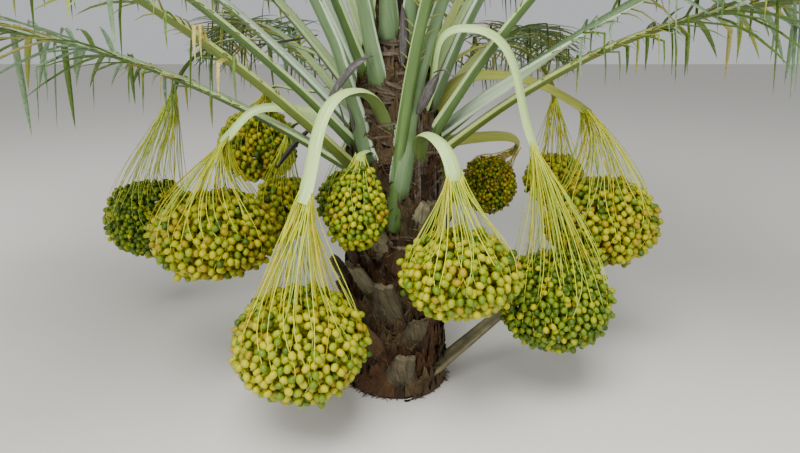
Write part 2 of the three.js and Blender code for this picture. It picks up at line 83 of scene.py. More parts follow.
lens = bpy.data.cameras.new("camera")
lens.sensor_width = SENSOR_MM
lens.lens = SENSOR_MM * FOCAL_LENGTH_PX / PHOTO_WIDTH_PX
lens.clip_start = 0.02
camera = bpy.data.objects.new("camera", lens)
camera.location = LENS_PLACE
camera.rotation_euler = (math.radians(90 - TILT_DOWN), 0, 0)
bpy.context.scene.collection.objects.link(camera)
bpy.context.scene.camera = camera
print("lens", round(lens.lens, 1), "mm")

# %% [markdown]
# Small things in great number are made as arrays of corners and faces and joined into one mesh
# for each kind. A loop over bpy.ops would take minutes for ten thousand leaflets and dates, while
# arrays take seconds. The class below gathers such shapes. Beside each corner it can keep a
# place, in metres across and along the shape, that a pattern can follow.

# %% Gather many small shapes into one mesh
MM = 0.001


class Gathered:
    """Corners, faces and pattern places of many small shapes, joined later into one mesh."""

    def __init__(self):
        self.corners = []
        self.faces = []
        self.places = []
        self.count = 0

    def add(self, corners, faces, places=None):
        corners = np.reshape(corners, (-1, 3))
        if places is None:
            places = np.zeros((len(corners), 2))
        self.corners.append(corners)
        self.places.append(np.reshape(places, (-1, 2)))
        self.faces += [np.asarray(set_of_faces) + self.count for set_of_faces in faces]
        self.count += len(corners)

    def triangles(self):
        return sum(len(faces) * (faces.shape[1] - 2) for faces in self.faces)

    def mesh(self, name):
        mesh = bpy.data.meshes.new(name)
        corners = np.concatenate(self.corners).astype(np.float32)
        loops = np.concatenate([faces.ravel() for faces in self.faces]).astype(np.int32)
        sizes = np.concatenate([np.full(len(faces), faces.shape[1]) for faces in self.faces])
        starts = np.concatenate([[0], np.cumsum(sizes)[:-1]]).astype(np.int32)
        mesh.vertices.add(len(corners))
        mesh.vertices.foreach_set("co", corners.ravel())
        mesh.loops.add(len(loops))
        mesh.loops.foreach_set("vertex_index", loops)
        mesh.polygons.add(len(starts))
        mesh.polygons.foreach_set("loop_start", starts)
        mesh.polygons.foreach_set("use_smooth", np.ones(len(starts), dtype=bool))
        mesh.update(calc_edges=True)
        layer = mesh.uv_layers.new(name="place")
        layer.uv.foreach_set("vector", np.concatenate(self.places)[loops].astype(np.float32).ravel())
        return mesh


def gatherers(count):
    return [Gathered() for _ in range(count)]


def numbered(kind, numbers):
    """The names of the solids of a kind, which count from 01."""
    return [f"{kind}_{i + 1:02d}" for i in numbers]


def grow(name, gathered, material, nodes):
    """Makes the piece: its mesh, its finish, the body it rides on and the solids it replaces."""
    piece = bpy.data.objects.new(name, gathered.mesh(name))
    piece.data.materials.append(material)
    bpy.context.scene.collection.objects.link(piece)
    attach(piece, "root")
    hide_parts(*nodes)
    print(f"{name}: {gathered.triangles()} triangles")
    return piece


# %% [markdown]
# Almost everything on a palm is a limb: a line through space with a section carried along it,
# wide or narrow, flat or round. The helpers here turn rings of corners into a closed skin. Places
# round a ring run up one side and down the other, so that a pattern meets itself with no seam.
# Leaf and fruit stalks get their upper face painted paler, as if lit by the sky, and their back
# darker, as if in shade, so their two faces are split. A skin that changes its material along a
# sharp edge looks crisper than a blend of two colours.

# %% Rings, skins and limbs
UP = np.array([0.0, 0.0, 1.0])
GOLDEN_ANGLE = 137.508
HIDDEN_STATIONS = 5


def polar(azimuth, radius, height):
    """A place round the trunk. Azimuths turn from +X towards +Y, in degrees."""
    turn = np.radians(azimuth)
    return np.stack(np.broadcast_arrays(radius * np.cos(turn), radius * np.sin(turn), height), -1)


def table_places(rows):
    """Places from a table's azimuths in degrees and radii and heights in millimetres."""
    return [polar(azimuth, radius * MM, height * MM) for azimuth, radius, height in rows]


def direction(azimuth, rise):
    tilt = np.radians(rise)
    return polar(azimuth, np.cos(tilt), np.sin(tilt))


def unit(vectors):
    return vectors / np.linalg.norm(vectors, axis=-1, keepdims=True)


def skin(rows, columns, closed=True):
    """Four-sided faces over a grid of corners, joined round where it is closed."""
    across = np.arange(columns if closed else columns - 1)
    row, column = np.meshgrid(np.arange(rows - 1), across, indexing="ij")
    a = row * columns + column
    b = row * columns + (column + 1) % columns
    return np.stack([a, b, b + columns, a + columns], -1).reshape(-1, 4)


def lid(first, columns, facing_ahead):
    """A fan of triangles over a ring of corners."""
    k = np.arange(1, columns - 1)
    fan = np.stack([np.full(len(k), first), first + k, first + k + 1], -1)
    return fan if facing_ahead else fan[:, ::-1]


def closed_skin(rows, columns):
    """The faces of a tube of rings, with a lid on each end."""
    last = (rows - 1) * columns
    return [skin(rows, columns), lid(0, columns, False), lid(last, columns, True)]


def limb_grid(path, side, normal, width, depth, section):
    """Carries a section, given in shares of half the width and half the depth, along a path."""
    rows, columns = len(path), len(section)
    width = np.broadcast_to(width, rows)
    depth = np.broadcast_to(depth, rows)
    across = side[:, None] * (width[:, None] / 2 * section[None, :, 0])[..., None]
    over = normal[:, None] * (depth[:, None] / 2 * section[None, :, 1])[..., None]
    corners = path[:, None] + across + over
    run = np.concatenate([[0], np.cumsum(np.linalg.norm(np.diff(path, axis=0), axis=1))])
    mirrored = 1 - np.abs(1 - 2 * np.arange(columns) / columns)
    places = np.stack(np.broadcast_arrays(mirrored[None] * width[:, None], run[:, None]), -1)
    return corners, places


def limb(gathered, *shape):
    """A limb in one finish, with a lid on each end."""
    corners, places = limb_grid(*shape)
    gathered.add(corners, closed_skin(*corners.shape[:2]), places)


def two_faced_limb(lit_upper, shaded_under, upper_faces, *shape):
    """A limb whose upper face, the section's first columns, has its own finish: painted light and shade."""
    corners, places = limb_grid(*shape)
    rows, columns = corners.shape[:2]
    rest = [*range(upper_faces, columns), 0]
    for gathered, chosen in ((lit_upper, [*range(upper_faces + 1)]), (shaded_under, rest)):
        gathered.add(corners[:, chosen], [skin(rows, len(chosen), closed=False)], places[:, chosen])


def rooted(start, ahead, azimuth, deep, sink):
    """Places that carry a limb on, back and down into the trunk, so that its end is hidden."""
    back = np.linspace(1, 1 / HIDDEN_STATIONS, HIDDEN_STATIONS)[:, None]
    return start - back * deep * ahead - back * sink * direction(azimuth, 0)


def round_section(sides):
    turn = 2 * np.pi * (np.arange(sides) + 0.5) / sides
    return np.stack([np.cos(turn), np.sin(turn)], -1)


def across_and_over(path, hint):
    """The side and the normal along a path, square to it, with the side nearest to the hint."""
    ahead = unit(np.gradient(path, axis=0))
    side = np.broadcast_to(hint, path.shape)
    side = unit(side - ahead * np.sum(side * ahead, -1, keepdims=True))
    return side, np.cross(ahead, side)


def limb_along(gathered, path, hint, width, depth, section):
    """A limb along a path, with its side as near to the hint as the path lets it be."""
    limb(gathered, path, *across_and_over(path, hint), width, depth, section)


def bezier(points, stations):
    t = np.linspace(0, 1, stations)[:, None]
    a, b, c, d = points
    return (1 - t) ** 3 * a + 3 * (1 - t) ** 2 * t * b + 3 * (1 - t) * t**2 * c + t**3 * d


# %% [markdown]
# A plant's skin is never one flat colour. Fibres and veins run lengthwise as fine streaks, and
# age, sun and wax make patches tens of millimetres wide. One function makes such a finish from
# three tones, the size of a streak and the size of a patch. Colours are written as they are on a
# screen, and linear() turns them into the amounts of light that shaders work with.

# %% Finishes
def linear(colour):
    """An sRGB hex colour as the linear colour that a shader takes."""
    shares = [int(colour[i : i + 2], 16) / 255 for i in (1, 3, 5)]
    return [c / 12.92 if c <= 0.04045 else ((c + 0.055) / 1.055) ** 2.4 for c in shares] + [1]


def add_node(material, kind, settings, links):
    """Adds one node, with its properties and inputs set and its inputs linked."""
    node = material.node_tree.nodes.new("ShaderNode" + kind)
    for name, value in settings.items():
        if isinstance(name, int) or name in node.inputs:
            node.inputs[name].default_value = value
        else:
            setattr(node, name, value)
    for name, output in links.items():
        material.node_tree.links.new(output, node.inputs[name])
    return node


MIX_FACTOR, MIX_A, MIX_B, MIX_RESULT = 0, 6, 7, 2
# Plant cells are mostly water, so light turns in them little more than in water itself.
PLANT_IOR = 1.38
WAX_ROUGHNESS = 0.3
BUMP_STRENGTH = 0.8


def plant_skin(name, tones, streak, patch, roughness, relief, follow="UV", contrast=3.0, wax=0.0):
    """Streaks of two tones, with patches of a third. Sizes are in mm: streak is (across, along)."""
    material = bpy.data.materials.new(name)
    material.use_nodes = True
    shader = material.node_tree.nodes["Principled BSDF"]
    shader.inputs["Roughness"].default_value = roughness
    shader.inputs["IOR"].default_value = PLANT_IOR
    shader.inputs["Coat Weight"].default_value = wax
    shader.inputs["Coat Roughness"].default_value = WAX_ROUGHNESS
    place = add_node(material, "TexCoord", {}, {}).outputs[follow]
    across, along = streak
    stretch = {"Scale": (1 / (across * MM), 1 / (along * MM), 1 / (across * MM))}
    stretched = add_node(material, "Mapping", stretch, {"Vector": place}).outputs["Vector"]
    fine = {"Scale": 1.0, "Detail": 4.0, "Roughness": 0.6}
    wide = {"Scale": 1 / (patch * MM), "Detail": 3.0, "Roughness": 0.55}
    streaks = add_node(material, "TexNoise", fine, {"Vector": stretched}).outputs["Fac"]
    patches = add_node(material, "TexNoise", wide, {"Vector": place}).outputs["Fac"]
    ramp = {"From Min": 0.5 - 0.5 / contrast, "From Max": 0.5 + 0.5 / contrast}
    dark, light, other = [linear(tone) for tone in tones]
    shares = [
        add_node(material, "MapRange", ramp, {"Value": noise}).outputs["Result"]
        for noise in (streaks, patches)
    ]
    two = {"data_type": "RGBA", MIX_A: dark, MIX_B: light}
    third = {"data_type": "RGBA", MIX_B: other}
    streaked = add_node(material, "Mix", two, {MIX_FACTOR: shares[0]}).outputs[MIX_RESULT]
    patched = add_node(material, "Mix", third, {MIX_FACTOR: shares[1], MIX_A: streaked})
    bumps = {"Strength": BUMP_STRENGTH, "Distance": relief * MM}
    bump = add_node(material, "Bump", bumps, {"Height": streaks})
    material.node_tree.links.new(patched.outputs[MIX_RESULT], shader.inputs["Base Color"])
    material.node_tree.links.new(bump.outputs["Normal"], shader.inputs["Normal"])
    return material


# %% [markdown]
# The trunk is short and hidden under what old leaves have left: a mat of dark fibre, woven from
# the edges of their sheaths, and their woody bases, cut back to stubs. The core is turned from a
# profile as a potter turns a vase, and then pushed in and out by waves that close round it. Real
# relief is worth its triangles here, because the trunk's outline shows against the pale floor.

# %% Trunk core
TRUNK_HEIGHTS = MM * np.array([0, 50, 160, 420, 700, 860, 1000, 1150, 1300, 1430, 1500])
TRUNK_RADII = MM * np.array([184, 172, 162, 156, 158, 146, 124, 94, 66, 42, 18])
TRUNK_TOP = TRUNK_HEIGHTS[-1]
MEAN_RADIUS = 160 * MM
LET_IN = 14 * MM
ROUGH = np.random.default_rng(5)


def trunk_radius(height):
    return np.interp(height, TRUNK_HEIGHTS, TRUNK_RADII)


def on_trunk(azimuth, height, depth=LET_IN):
    """A place on the trunk, or that far under its skin."""
    return polar(azimuth, trunk_radius(height) - depth, height)


def waves(azimuth, height, size, count):
    """A bumpy field over the trunk, with lumps of about the given size, that closes round it."""
    field = np.zeros(np.broadcast(azimuth, height).shape)
    most_turns = int(2 * np.pi * MEAN_RADIUS / size)
    for _ in range(count):
        turns = ROUGH.integers(-most_turns, most_turns + 1)
        climb = ROUGH.uniform(-1, 1) * 2 * np.pi / size
        start = ROUGH.uniform(0, 2 * np.pi)
        field += np.cos(turns * np.radians(azimuth) + climb * height + start)
    return field / math.sqrt(count)


CORE_ROWS, CORE_COLUMNS = 170, 96
# Height of the relief, size of its lumps and number of waves that make them.
CORE_RELIEF = ((4.5 * MM, 90 * MM, 18), (3.0 * MM, 26 * MM, 30))
SMOOTH_TOP = 300 * MM
core_height = np.linspace(0, TRUNK_TOP, CORE_ROWS)[:, None]
core_azimuth = np.linspace(0, 360, CORE_COLUMNS, endpoint=False)[None]
core_relief = sum(high * waves(core_azimuth, core_height, size, n) for high, size, n in CORE_RELIEF)
core_relief = core_relief * np.clip((TRUNK_TOP - core_height) / SMOOTH_TOP, 0, 1)
core_corners = polar(core_azimuth, trunk_radius(core_height) + core_relief, core_height)
half_way_round = 0.5 * (1 - np.abs(1 - core_azimuth / 180))
core_places = np.stack(np.broadcast_arrays(half_way_round, core_height), -1)
trunk_core = Gathered()
trunk_core.add(core_corners, closed_skin(CORE_ROWS, CORE_COLUMNS), core_places)

# Sheath fibre: dead, dry and matt. Its near-black streaks are painted shade, the hollows between
# red-brown threads, which give the mat its depth. Threads are under 1 mm and are drawn 4 mm wide
# so that they show.
sheath_fibre = plant_skin(
    "sheath_fibre", ("#100b06", "#4c3a24", "#2a2013"), (4, 60), 45, 0.95, 6.0, contrast=2.6
)
grow("trunk_core", trunk_core, sheath_fibre, ["trunk"])

# %% [markdown]
# An old leaf base, a boot, is a thick shell: rounded outside, flat or hollow towards the trunk,
# widest where it clasps the trunk and cut off. Boots climb in the spiral in which the leaves
# grew, a golden angle apart. The same seeded draws as in the source give each its length and lean,
# so the fine boots stand where the solid ones do. No two have weathered alike: some are still
# pale, some have gone grey-brown and the dampest are red-brown, and their ends have frayed.

# %% Boots on the trunk
BOOT_COUNT = 32
BOOT_HEIGHTS = np.linspace(8, 590, BOOT_COUNT) * MM
BOOT_ROOT = (126 * MM, 60 * MM)
BOOT_END = (66 * MM, 30 * MM)
BOOT_LENGTH, BOOT_LENGTH_VARIES = 185 * MM, 0.5
BOOT_LEAN, BOOT_LEAN_VARIES = 27, 0.6
BOOT_SEED = 11
BOOT_ROWS, BOOT_COLUMNS, BOOT_HOLLOW, BOOT_UNEVEN = 16, 26, 0.85, 0.07
BOOT_WIDTHS = ([0, 0.35, 1], [BOOT_ROOT[0] * 1.08, BOOT_ROOT[0] * 0.8, BOOT_END[0]])
BOOT_DEPTHS = ([0, 1], [BOOT_ROOT[1], BOOT_END[1] * 1.05])
BOOT_BEND, BOOT_SWAY = 12 * MM, 14 * MM
BOOT_FRAY, BOOT_GRAIN, PITH_DEEP = 6 * MM, 1.6 * MM, 6 * MM
# The source's draws: each is the one before times a factor, plus a step, within a span.
DRAW_FACTOR, DRAW_STEP, DRAW_SPAN = 1664525, 1013904223, 2**32
PALE_BOOTS = (20, 28, 31)
RED_BOOTS = (7, 9, 12, 23, 30)
OLD_STALK = {"azimuth": 322, "heading": 27, "height": 48 * MM, "rise": 29, "length": 430 * MM}
OLD_STALK_ROOM, OLD_STATIONS = 62 * MM, 24

old_foot = on_trunk(OLD_STALK["azimuth"], OLD_STALK["height"])
old_ahead = direction(OLD_STALK["heading"], OLD_STALK["rise"])
old_path = old_foot + np.linspace(0, OLD_STALK["length"], OLD_STATIONS)[:, None] * old_ahead


def dice(seed):
    """Numbers from 0 to 1, drawn by the source's own rule."""
    while True:
        seed = (seed * DRAW_FACTOR + DRAW_STEP) % DRAW_SPAN
        yield seed / DRAW_SPAN


def shell_section(columns, hollow):
    """A thick shell: round on its back, and flat or hollow on the side that the normal faces."""
    section = round_section(columns)
    front = section[:, 1] > 0
    section[front, 1] *= 1 - hollow * (1 - section[front, 0] ** 2)
    return section


def make_boots():
    """The boots of each age, and apart from them their cut ends."""
    boots, ends = gatherers(3), Gathered()
    draw = dice(BOOT_SEED)
    rows, columns = BOOT_ROWS, BOOT_COLUMNS
    along = np.linspace(0, 1, rows)
    for i, height in enumerate(BOOT_HEIGHTS):
        azimuth = i * GOLDEN_ANGLE
        length = BOOT_LENGTH * (1 + BOOT_LENGTH_VARIES * (next(draw) - 0.5))
        lean = BOOT_LEAN * (1 + BOOT_LEAN_VARIES * (next(draw) - 0.5))
        ahead = direction(azimuth, 90 - lean)
        across = direction(azimuth + 90, 0)
        foot = on_trunk(azimuth, height, BOOT_ROOT[1] / 2)
        path = foot + (length * along)[:, None] * ahead
        path = path + (BOOT_BEND * along**2)[:, None] * direction(azimuth, 0)
        path = path + (ROUGH.uniform(-1, 1) * BOOT_SWAY * along**2)[:, None] * across
        gaps = np.linalg.norm(path[:, None] - old_path[None], axis=-1)
        if gaps.min() < OLD_STALK_ROOM:
            continue
        width, depth = np.interp(along, *BOOT_WIDTHS), np.interp(along, *BOOT_DEPTHS)
        uneven = 1 + BOOT_UNEVEN * ROUGH.standard_normal(columns)[:, None]
        section = shell_section(columns, BOOT_HOLLOW) * uneven
        corners, places = limb_grid(path, *across_and_over(path, across), width, depth, section)
        fray = BOOT_FRAY * ROUGH.uniform(-1, 1, columns) * (1 - 0.6 * np.abs(section[:, 0]))
        corners = corners + (along[:, None] ** 4 * fray)[..., None] * ahead
        corners = corners + BOOT_GRAIN * ROUGH.standard_normal(corners.shape)
        corners[..., 2] = np.maximum(corners[..., 2], 0.0)
        age = 0 if i in PALE_BOOTS else 2 if i in RED_BOOTS else 1
        boots[age].add(corners, [skin(rows, columns)], places)
        rim = corners[-1]
        pith = rim.mean(axis=0) - PITH_DEEP * ahead
        fan = np.array([[k, (k + 1) % columns, columns] for k in range(columns)])
        ends.add(np.concatenate([rim, [pith]]), [fan], np.concatenate([rim, [pith]])[:, :2])
    return boots, ends


boots, boot_ends = make_boots()

# Weathered leaf bases, fibrous as old wood, with dark grooves: pale as driftwood where rain
# washes them, grey-brown as they age, and red-brown where they stay damp and start to rot.
BOOT_AGES = {
    "pale": ("pale_leaf_base", ("#3c3423", "#aea688", "#786e50"), (5, 110), 60, 0.88, 6.0),
    "grey": ("weathered_leaf_base", ("#1e180f", "#766d52", "#463d2b"), (5, 110), 60, 0.88, 6.0),
    "red": ("rotting_leaf_base", ("#20150c", "#765a3c", "#4a3621"), (5, 80), 45, 0.92, 6.0),
}
boot_finishes = [plant_skin(*look, contrast=2.6) for look in BOOT_AGES.values()]
# Cut fibre: rough and open, darker than the sides, in short pores end on.
cut_fibre = plant_skin(
    "cut_fibre", ("#1f1910", "#8a7d60", "#4c422f"), (3, 3), 18, 0.9, 2.5, follow="Object", contrast=2.2
)
for word, finish, gathered in zip(BOOT_AGES, boot_finishes, boots):
    grow(f"{word}_boots", gathered, finish, ["trunk"])
grow("boot_ends", boot_ends, cut_fibre, ["trunk"])

# %% [markdown]
# One old leaf was cut long. Its stalk slants up out of the trunk's foot towards the right. It is
# the same limb as a living leaf stalk, dried to grey-brown, so it uses the leaf's own section: a
# wide top with sharp edges over a narrower round back.

# %% Old leaf stalk
TOP_HALF = [[0.94, 0.25], [1.0, 0.7], [0.93, 1.0], [0.5, 0.84], [0.0, 0.76]]
BACK_HALF = [[-0.56, -0.75], [0.0, -1.05], [0.56, -0.75]]
STALK_SECTION = np.array(TOP_HALF + [[-x, y] for x, y in TOP_HALF[-2::-1]] + BACK_HALF)
OLD_WIDTHS, OLD_DEPTHS = (64 * MM, 46 * MM), (35 * MM, 28 * MM)
old_stalk = Gathered()
old_side = direction(OLD_STALK["heading"] + 90, 0)
old_width = np.linspace(*OLD_WIDTHS, len(old_path))
old_depth = np.linspace(*OLD_DEPTHS, len(old_path))
limb_along(old_stalk, old_path, old_side, old_width, old_depth, STALK_SECTION)

# Dried leaf stalk: grey where the skin has weathered, ochre and green-brown where it is left.
dried_stalk = plant_skin(
    "dried_leaf_stalk", ("#6b6347", "#9b9170", "#4e4a34"), (5, 180), 70, 0.75, 1.2, contrast=2.5
)
grow("old_leaf_stalk_skin", old_stalk, dried_stalk, ["old_leaf_stalk"])

# %% [markdown]
# Each living leaf is a line that leaves the trunk at a rise and nods more and more to its tip. A
# rib follows the line, wide and clasping at the trunk and thin as a finger at the tip. The table
# gives the leaves of the solids, one a row: the azimuth and height at which it leaves the trunk,
# how steeply it rises, how far it nods, its length, and where it heads if that isn't straight out.
# Lengths are in millimetres and angles in degrees.

# %% Lines of the leaves
LEAVES = [
    (176, 795, 31, 62, 2450),
    (218, 800, 44, 58, 2450),
    (338, 925, 56, 60, 2500),
    (355, 850, 39, 104, 2450),
    (63, 860, 28, 56, 2400),
    (92, 840, 24, 52, 2400),
    (121, 850, 30, 58, 2400),
    (201, 890, 46, 56, 2500),
    (164, 925, 44, 54, 2500),
    (144, 985, 44, 50, 2600),
    (6, 900, 40, 60, 2500, 350),
    (66, 950, 42, 54, 2550),
    (107, 960, 46, 54, 2600),
    (214, 985, 66, 56, 2600),
    (348, 1010, 66, 56, 2600),
    (267, 640, 84, 66, 2650, 330),
    (286, 960, 74, 60, 2650, 340),
    (19, 1050, 62, 52, 2650),
    (121, 1065, 55, 46, 2650),
    (72, 1060, 56, 50, 2650),
    (160, 1070, 62, 52, 2650),
    (238, 1100, 70, 56, 2700),
    (198, 1120, 66, 52, 2700),
    (318, 1120, 72, 54, 2700),
    (44, 1130, 60, 48, 2700),
    (300, 1210, 76, 50, 2700),
    (140, 1220, 76, 46, 2700),
    (75, 1240, 77, 46, 2700),
    (258, 1240, 75, 52, 2700),
    (20, 1260, 80, 44, 2650),
    (200, 1270, 80, 44, 2650),
]
NOD_POWER = 1.5
LINE_STEP = 10 * MM


class LeafLine:
    """A leaf's line in steps of 10 mm: places, the way ahead, the side and the flat top's normal."""

    def __init__(self, azimuth, height, rise, nod, length, heading=None):
        self.length = length * MM
        self.rise = rise
        self.azimuth = azimuth
        heading = azimuth if heading is None else heading
        middle = np.arange(LINE_STEP / 2, self.length, LINE_STEP)
        rises = np.concatenate([[0], (middle / self.length) ** NOD_POWER])
        self.ahead = direction(heading, rise - nod * rises)
        start = on_trunk(azimuth, height * MM)
        self.at = np.concatenate([[start], start + np.cumsum(self.ahead[1:] * LINE_STEP, axis=0)])
        run = np.arange(len(self.at)) * LINE_STEP
        turned = np.minimum(1, 2 * run / self.length)
        facing = azimuth + (heading - azimuth) * turned
        self.normal = unit(np.cross(self.ahead, direction(facing + 90, 0.0)))
        self.side = np.cross(self.normal, self.ahead)

    def station(self, distance):
        """The place, the way ahead, the side and the normal at distances along the leaf."""
        i = np.minimum(np.round(np.asarray(distance) / LINE_STEP).astype(int), len(self.at) - 1)
        return self.at[i], self.ahead[i], self.side[i], self.normal[i]


lines = [LeafLine(*leaf) for leaf in LEAVES]
ALL_LEAVES = numbered("leaf", range(len(lines)))
print(len(lines), "leaves, lowest point", round(min(line.at[:, 2].min() for line in lines), 2), "m")

# %% [markdown]
# The rib of a leaf is a strap 54 mm wide at the trunk, where its foot spreads to clasp the stem
# and runs on down inside it. A steep one lies against the stem there, so it is let out until
# its whole width shows. Two in front keep a long foot that runs down the outside of the stem,
# one behind the large bunch and one beside the lowest upright rib, before it dives under the
# fibre. Young and shaded ribs carry a grey-blue wax that can be rubbed off, others are plain
# green, and the oldest have turned olive and ochre. Each kind has its upper face and edges
# painted silvery, as if lit by the sky, and its rounded back painted greener and darker, as if
# in shade, so the ribs come as three pairs of pieces.

# %% Ribs of the leaves
STALK_WIDTH, NECK_WIDTH, NECK_AT, TIP_WIDTH = 54 * MM, 42 * MM, 420 * MM, 7 * MM
STALK_DEPTH, TIP_DEPTH = 34 * MM, 5 * MM
LEAFLETS_FROM = 0.33
NECK_POWER, DEPTH_POWER, FOOT_POWER = 0.6, 0.7, 1.5
FOOT_REACH, FOOT_SPREAD, FOOT_THICKER = 190 * MM, 0.5, 0.3
FOOT_DEEP, FOOT_SINK = 80 * MM, 75 * MM
FOOT_LIFT, LIFT_REACH = 20 * MM, 260 * MM
RIB_STATIONS = (26, 34)
UPPER_FACES = 8
# By leaf: how far down its foot runs, how far out it lies, and by how many degrees it turns.
LONG_FEET = {13: (150 * MM, 20 * MM, 26), 16: (250 * MM, 14 * MM, -12)}
# A long foot settles towards the stem, and its last fifth dives under the fibre.
LONG_FOOT_STATIONS, FOOT_SETTLES, DIVES_FROM, FOOT_DIVE = 7, 0.6, 0.8, 45 * MM
UPRIGHT_RISE = 80
BLOOMED = [8, 10, 13, 14, 16, 20, 21, 23, 25, 26, 28]
OLIVE = [1, 3, 4, 5, 11]


def rib_width(line, distance):
    necked = (np.minimum(distance, NECK_AT) / NECK_AT) ** NECK_POWER
    near = STALK_WIDTH + (NECK_WIDTH - STALK_WIDTH) * necked
    beyond = np.clip((distance - NECK_AT) / (line.length - NECK_AT), 0, 1)
    return near + (TIP_WIDTH - NECK_WIDTH) * beyond


def rib_depth(line, distance):
    return STALK_DEPTH + (TIP_DEPTH - STALK_DEPTH) * (distance / line.length) ** DEPTH_POWER


def make_ribs(numbers):
    lit_upper, shaded_under = gatherers(2)
    for i in numbers:
        line = lines[i]
        near = np.linspace(0, LEAFLETS_FROM * line.length, RIB_STATIONS[0])
        far = np.linspace(LEAFLETS_FROM * line.length, line.length, RIB_STATIONS[1])[1:]
        distance = np.concatenate([near, far])
        at, ahead, side, normal = line.station(distance)
        foot = FOOT_SPREAD * np.clip(1 - distance / FOOT_REACH, 0, 1) ** FOOT_POWER
        width = rib_width(line, distance) * (1 + foot)
        depth = rib_depth(line, distance) * (1 + FOOT_THICKER * foot)
        steep = FOOT_LIFT * min(1, line.rise / UPRIGHT_RISE) ** 2
        deep, proud, turn = LONG_FEET.get(i, (0, 0, 0))
        if i in LONG_FEET:
            steep = LET_IN + proud
        lift = steep * np.clip(1 - distance / LIFT_REACH, 0, 1)
        at = at + lift[:, None] * direction(line.azimuth, 0)
        hidden = rooted(at[0], ahead[0], line.azimuth, FOOT_DEEP, FOOT_SINK)
        if i in LONG_FEET:
            back = np.linspace(1, 0.1, LONG_FOOT_STATIONS)
            height = at[0, 2] - deep * back
            dive = FOOT_DIVE * np.clip((back - DIVES_FROM) / (1 - DIVES_FROM), 0, 1)
            out = trunk_radius(height) + proud * (1 - FOOT_SETTLES * back) - dive
            hidden = polar(line.azimuth + turn * back, out, height)
        more = ((len(hidden), 0), (0, 0))
        path = np.concatenate([hidden, at])
        side, normal = np.pad(side, more, "edge"), np.pad(normal, more, "edge")
        width, depth = np.pad(width, more[0], "edge"), np.pad(depth, more[0], "edge")
        two_faced_limb(lit_upper, shaded_under, UPPER_FACES, path, side, normal, width, depth, STALK_SECTION)
    return lit_upper, shaded_under


# Waxed leaf stalk: a green skin under pale grey-blue wax, nearly matt, with long faint streaks.
# Green leaf stalk: the same skin with the wax worn off, yellower and a little glossier.
# Olive leaf stalk: an old leaf on its way out, ochre and brown creeping in as patches.
# The upper face of each is painted paler, as if lit by the sky, and the back darker, as if in shade.
RIB_TONES = {
    "waxed": (("#9ab08e", "#c6d8bc", "#b0c4a4"), ("#445e3a", "#788e64", "#5a724a")),
    "green": (("#90a86a", "#b4c890", "#a0b67a"), ("#365020", "#607a3e", "#4a642e")),
    "olive": (("#8ea252", "#b4c278", "#9eaa5c"), ("#40561c", "#6e8032", "#5c6626")),
}
PLAIN = [i for i in range(len(lines)) if i not in BLOOMED + OLIVE]
for word, numbers in (("waxed", BLOOMED), ("green", PLAIN), ("olive", OLIVE)):
    for face, gathered, tones in zip(("lit_upper", "shaded_under"), make_ribs(numbers), RIB_TONES[word]):
        finish = plant_skin(f"{word}_{face}_leaf_stalk", tones, (9, 260), 90, 0.45, 0.5, wax=0.08)
        grow(f"{word}_ribs_{face}", gathered, finish, numbered("leaf", numbers))

# %% [markdown]
# Fruit stalks are flat straps that rise between the leaf bases, arch over and hang by the weight
# of their fruit. Two Bezier curves that meet level at the crest give the arch. Each row of the
# table is a bunch of the solids. It gives the azimuth and height where the stalk starts and the
# rise at which it sets off, then the azimuth, radius and height of its crest, its end and the
# middle of its fruit. The stalk's width and the fruit's radius and half height follow, and last
# come ripeness, the slant that a stiff stalk keeps at its end, and its turn about its own line.
# Lengths are in millimetres and angles in degrees. Ripeness is a matter of looks alone: some
# bunches still hold hard green fruit while others are turning orange.

# %% Lines of the fruit stalks
BUNCHES = [
    ((255, 955, 66), (241, 254, 1087), (234, 452, 783), (233, 483, 362), (62, 206, 200), "turning", 0.4, 0),
    ((303, 840, 70), (294, 263, 960), (297, 386, 845), (301, 389, 570), (52, 178, 154), "turning", 0, 0),
    ((328, 1008, 56), (320, 272, 1268), (342, 478, 895), (346, 573, 394), (38, 190, 204), "green", 0.35, 40),
    ((28, 950, 55), (20, 330, 1118), (10, 712, 985), (9, 786, 600), (58, 206, 196), "orange", 1.5, 35),
    ((182, 885, 48), (185, 415, 1022), (190, 575, 915), (189, 630, 621), (40, 206, 174), "orange", 1, -40),
    ((124, 1000, 30), (139, 859, 1238), (150, 1110, 998), (156, 1190, 503), (28, 188, 200), "green", 0, 0),
    ((127, 925, 50), (136, 515, 1045), (137, 752, 995), (137, 840, 808), (34, 168, 186), "orange", 0, 0),
    ((240, 850, 60), (243, 207, 900), (246, 262, 882), (245, 280, 733), (28, 92, 132), "young", 0, 0),
    ((25, 845, 40), (24, 326, 895), (31, 540, 815), (41, 505, 686), (46, 106, 142), "small", 0, 50),
    ((50, 1010, 32), (52, 715, 1215), (42, 945, 970), (40, 940, 648), (28, 132, 135), "orange", 0, 0),
    ((154, 850, 45), (152, 330, 950), (150, 478, 870), (150, 530, 602), (32, 108, 158), "turning", 0, 0),
    ((86, 925, 50), (84, 420, 1120), (82, 640, 985), (79, 700, 620), (42, 180, 180), "turning", 0, 0),
    ((107, 890, 45), (107, 340, 1020), (107, 520, 905), (110, 556, 565), (38, 155, 165), "green", 0, 0),
]
STALK_PULL = 0.42
STALK_DEPTH_SHARE = 0.42


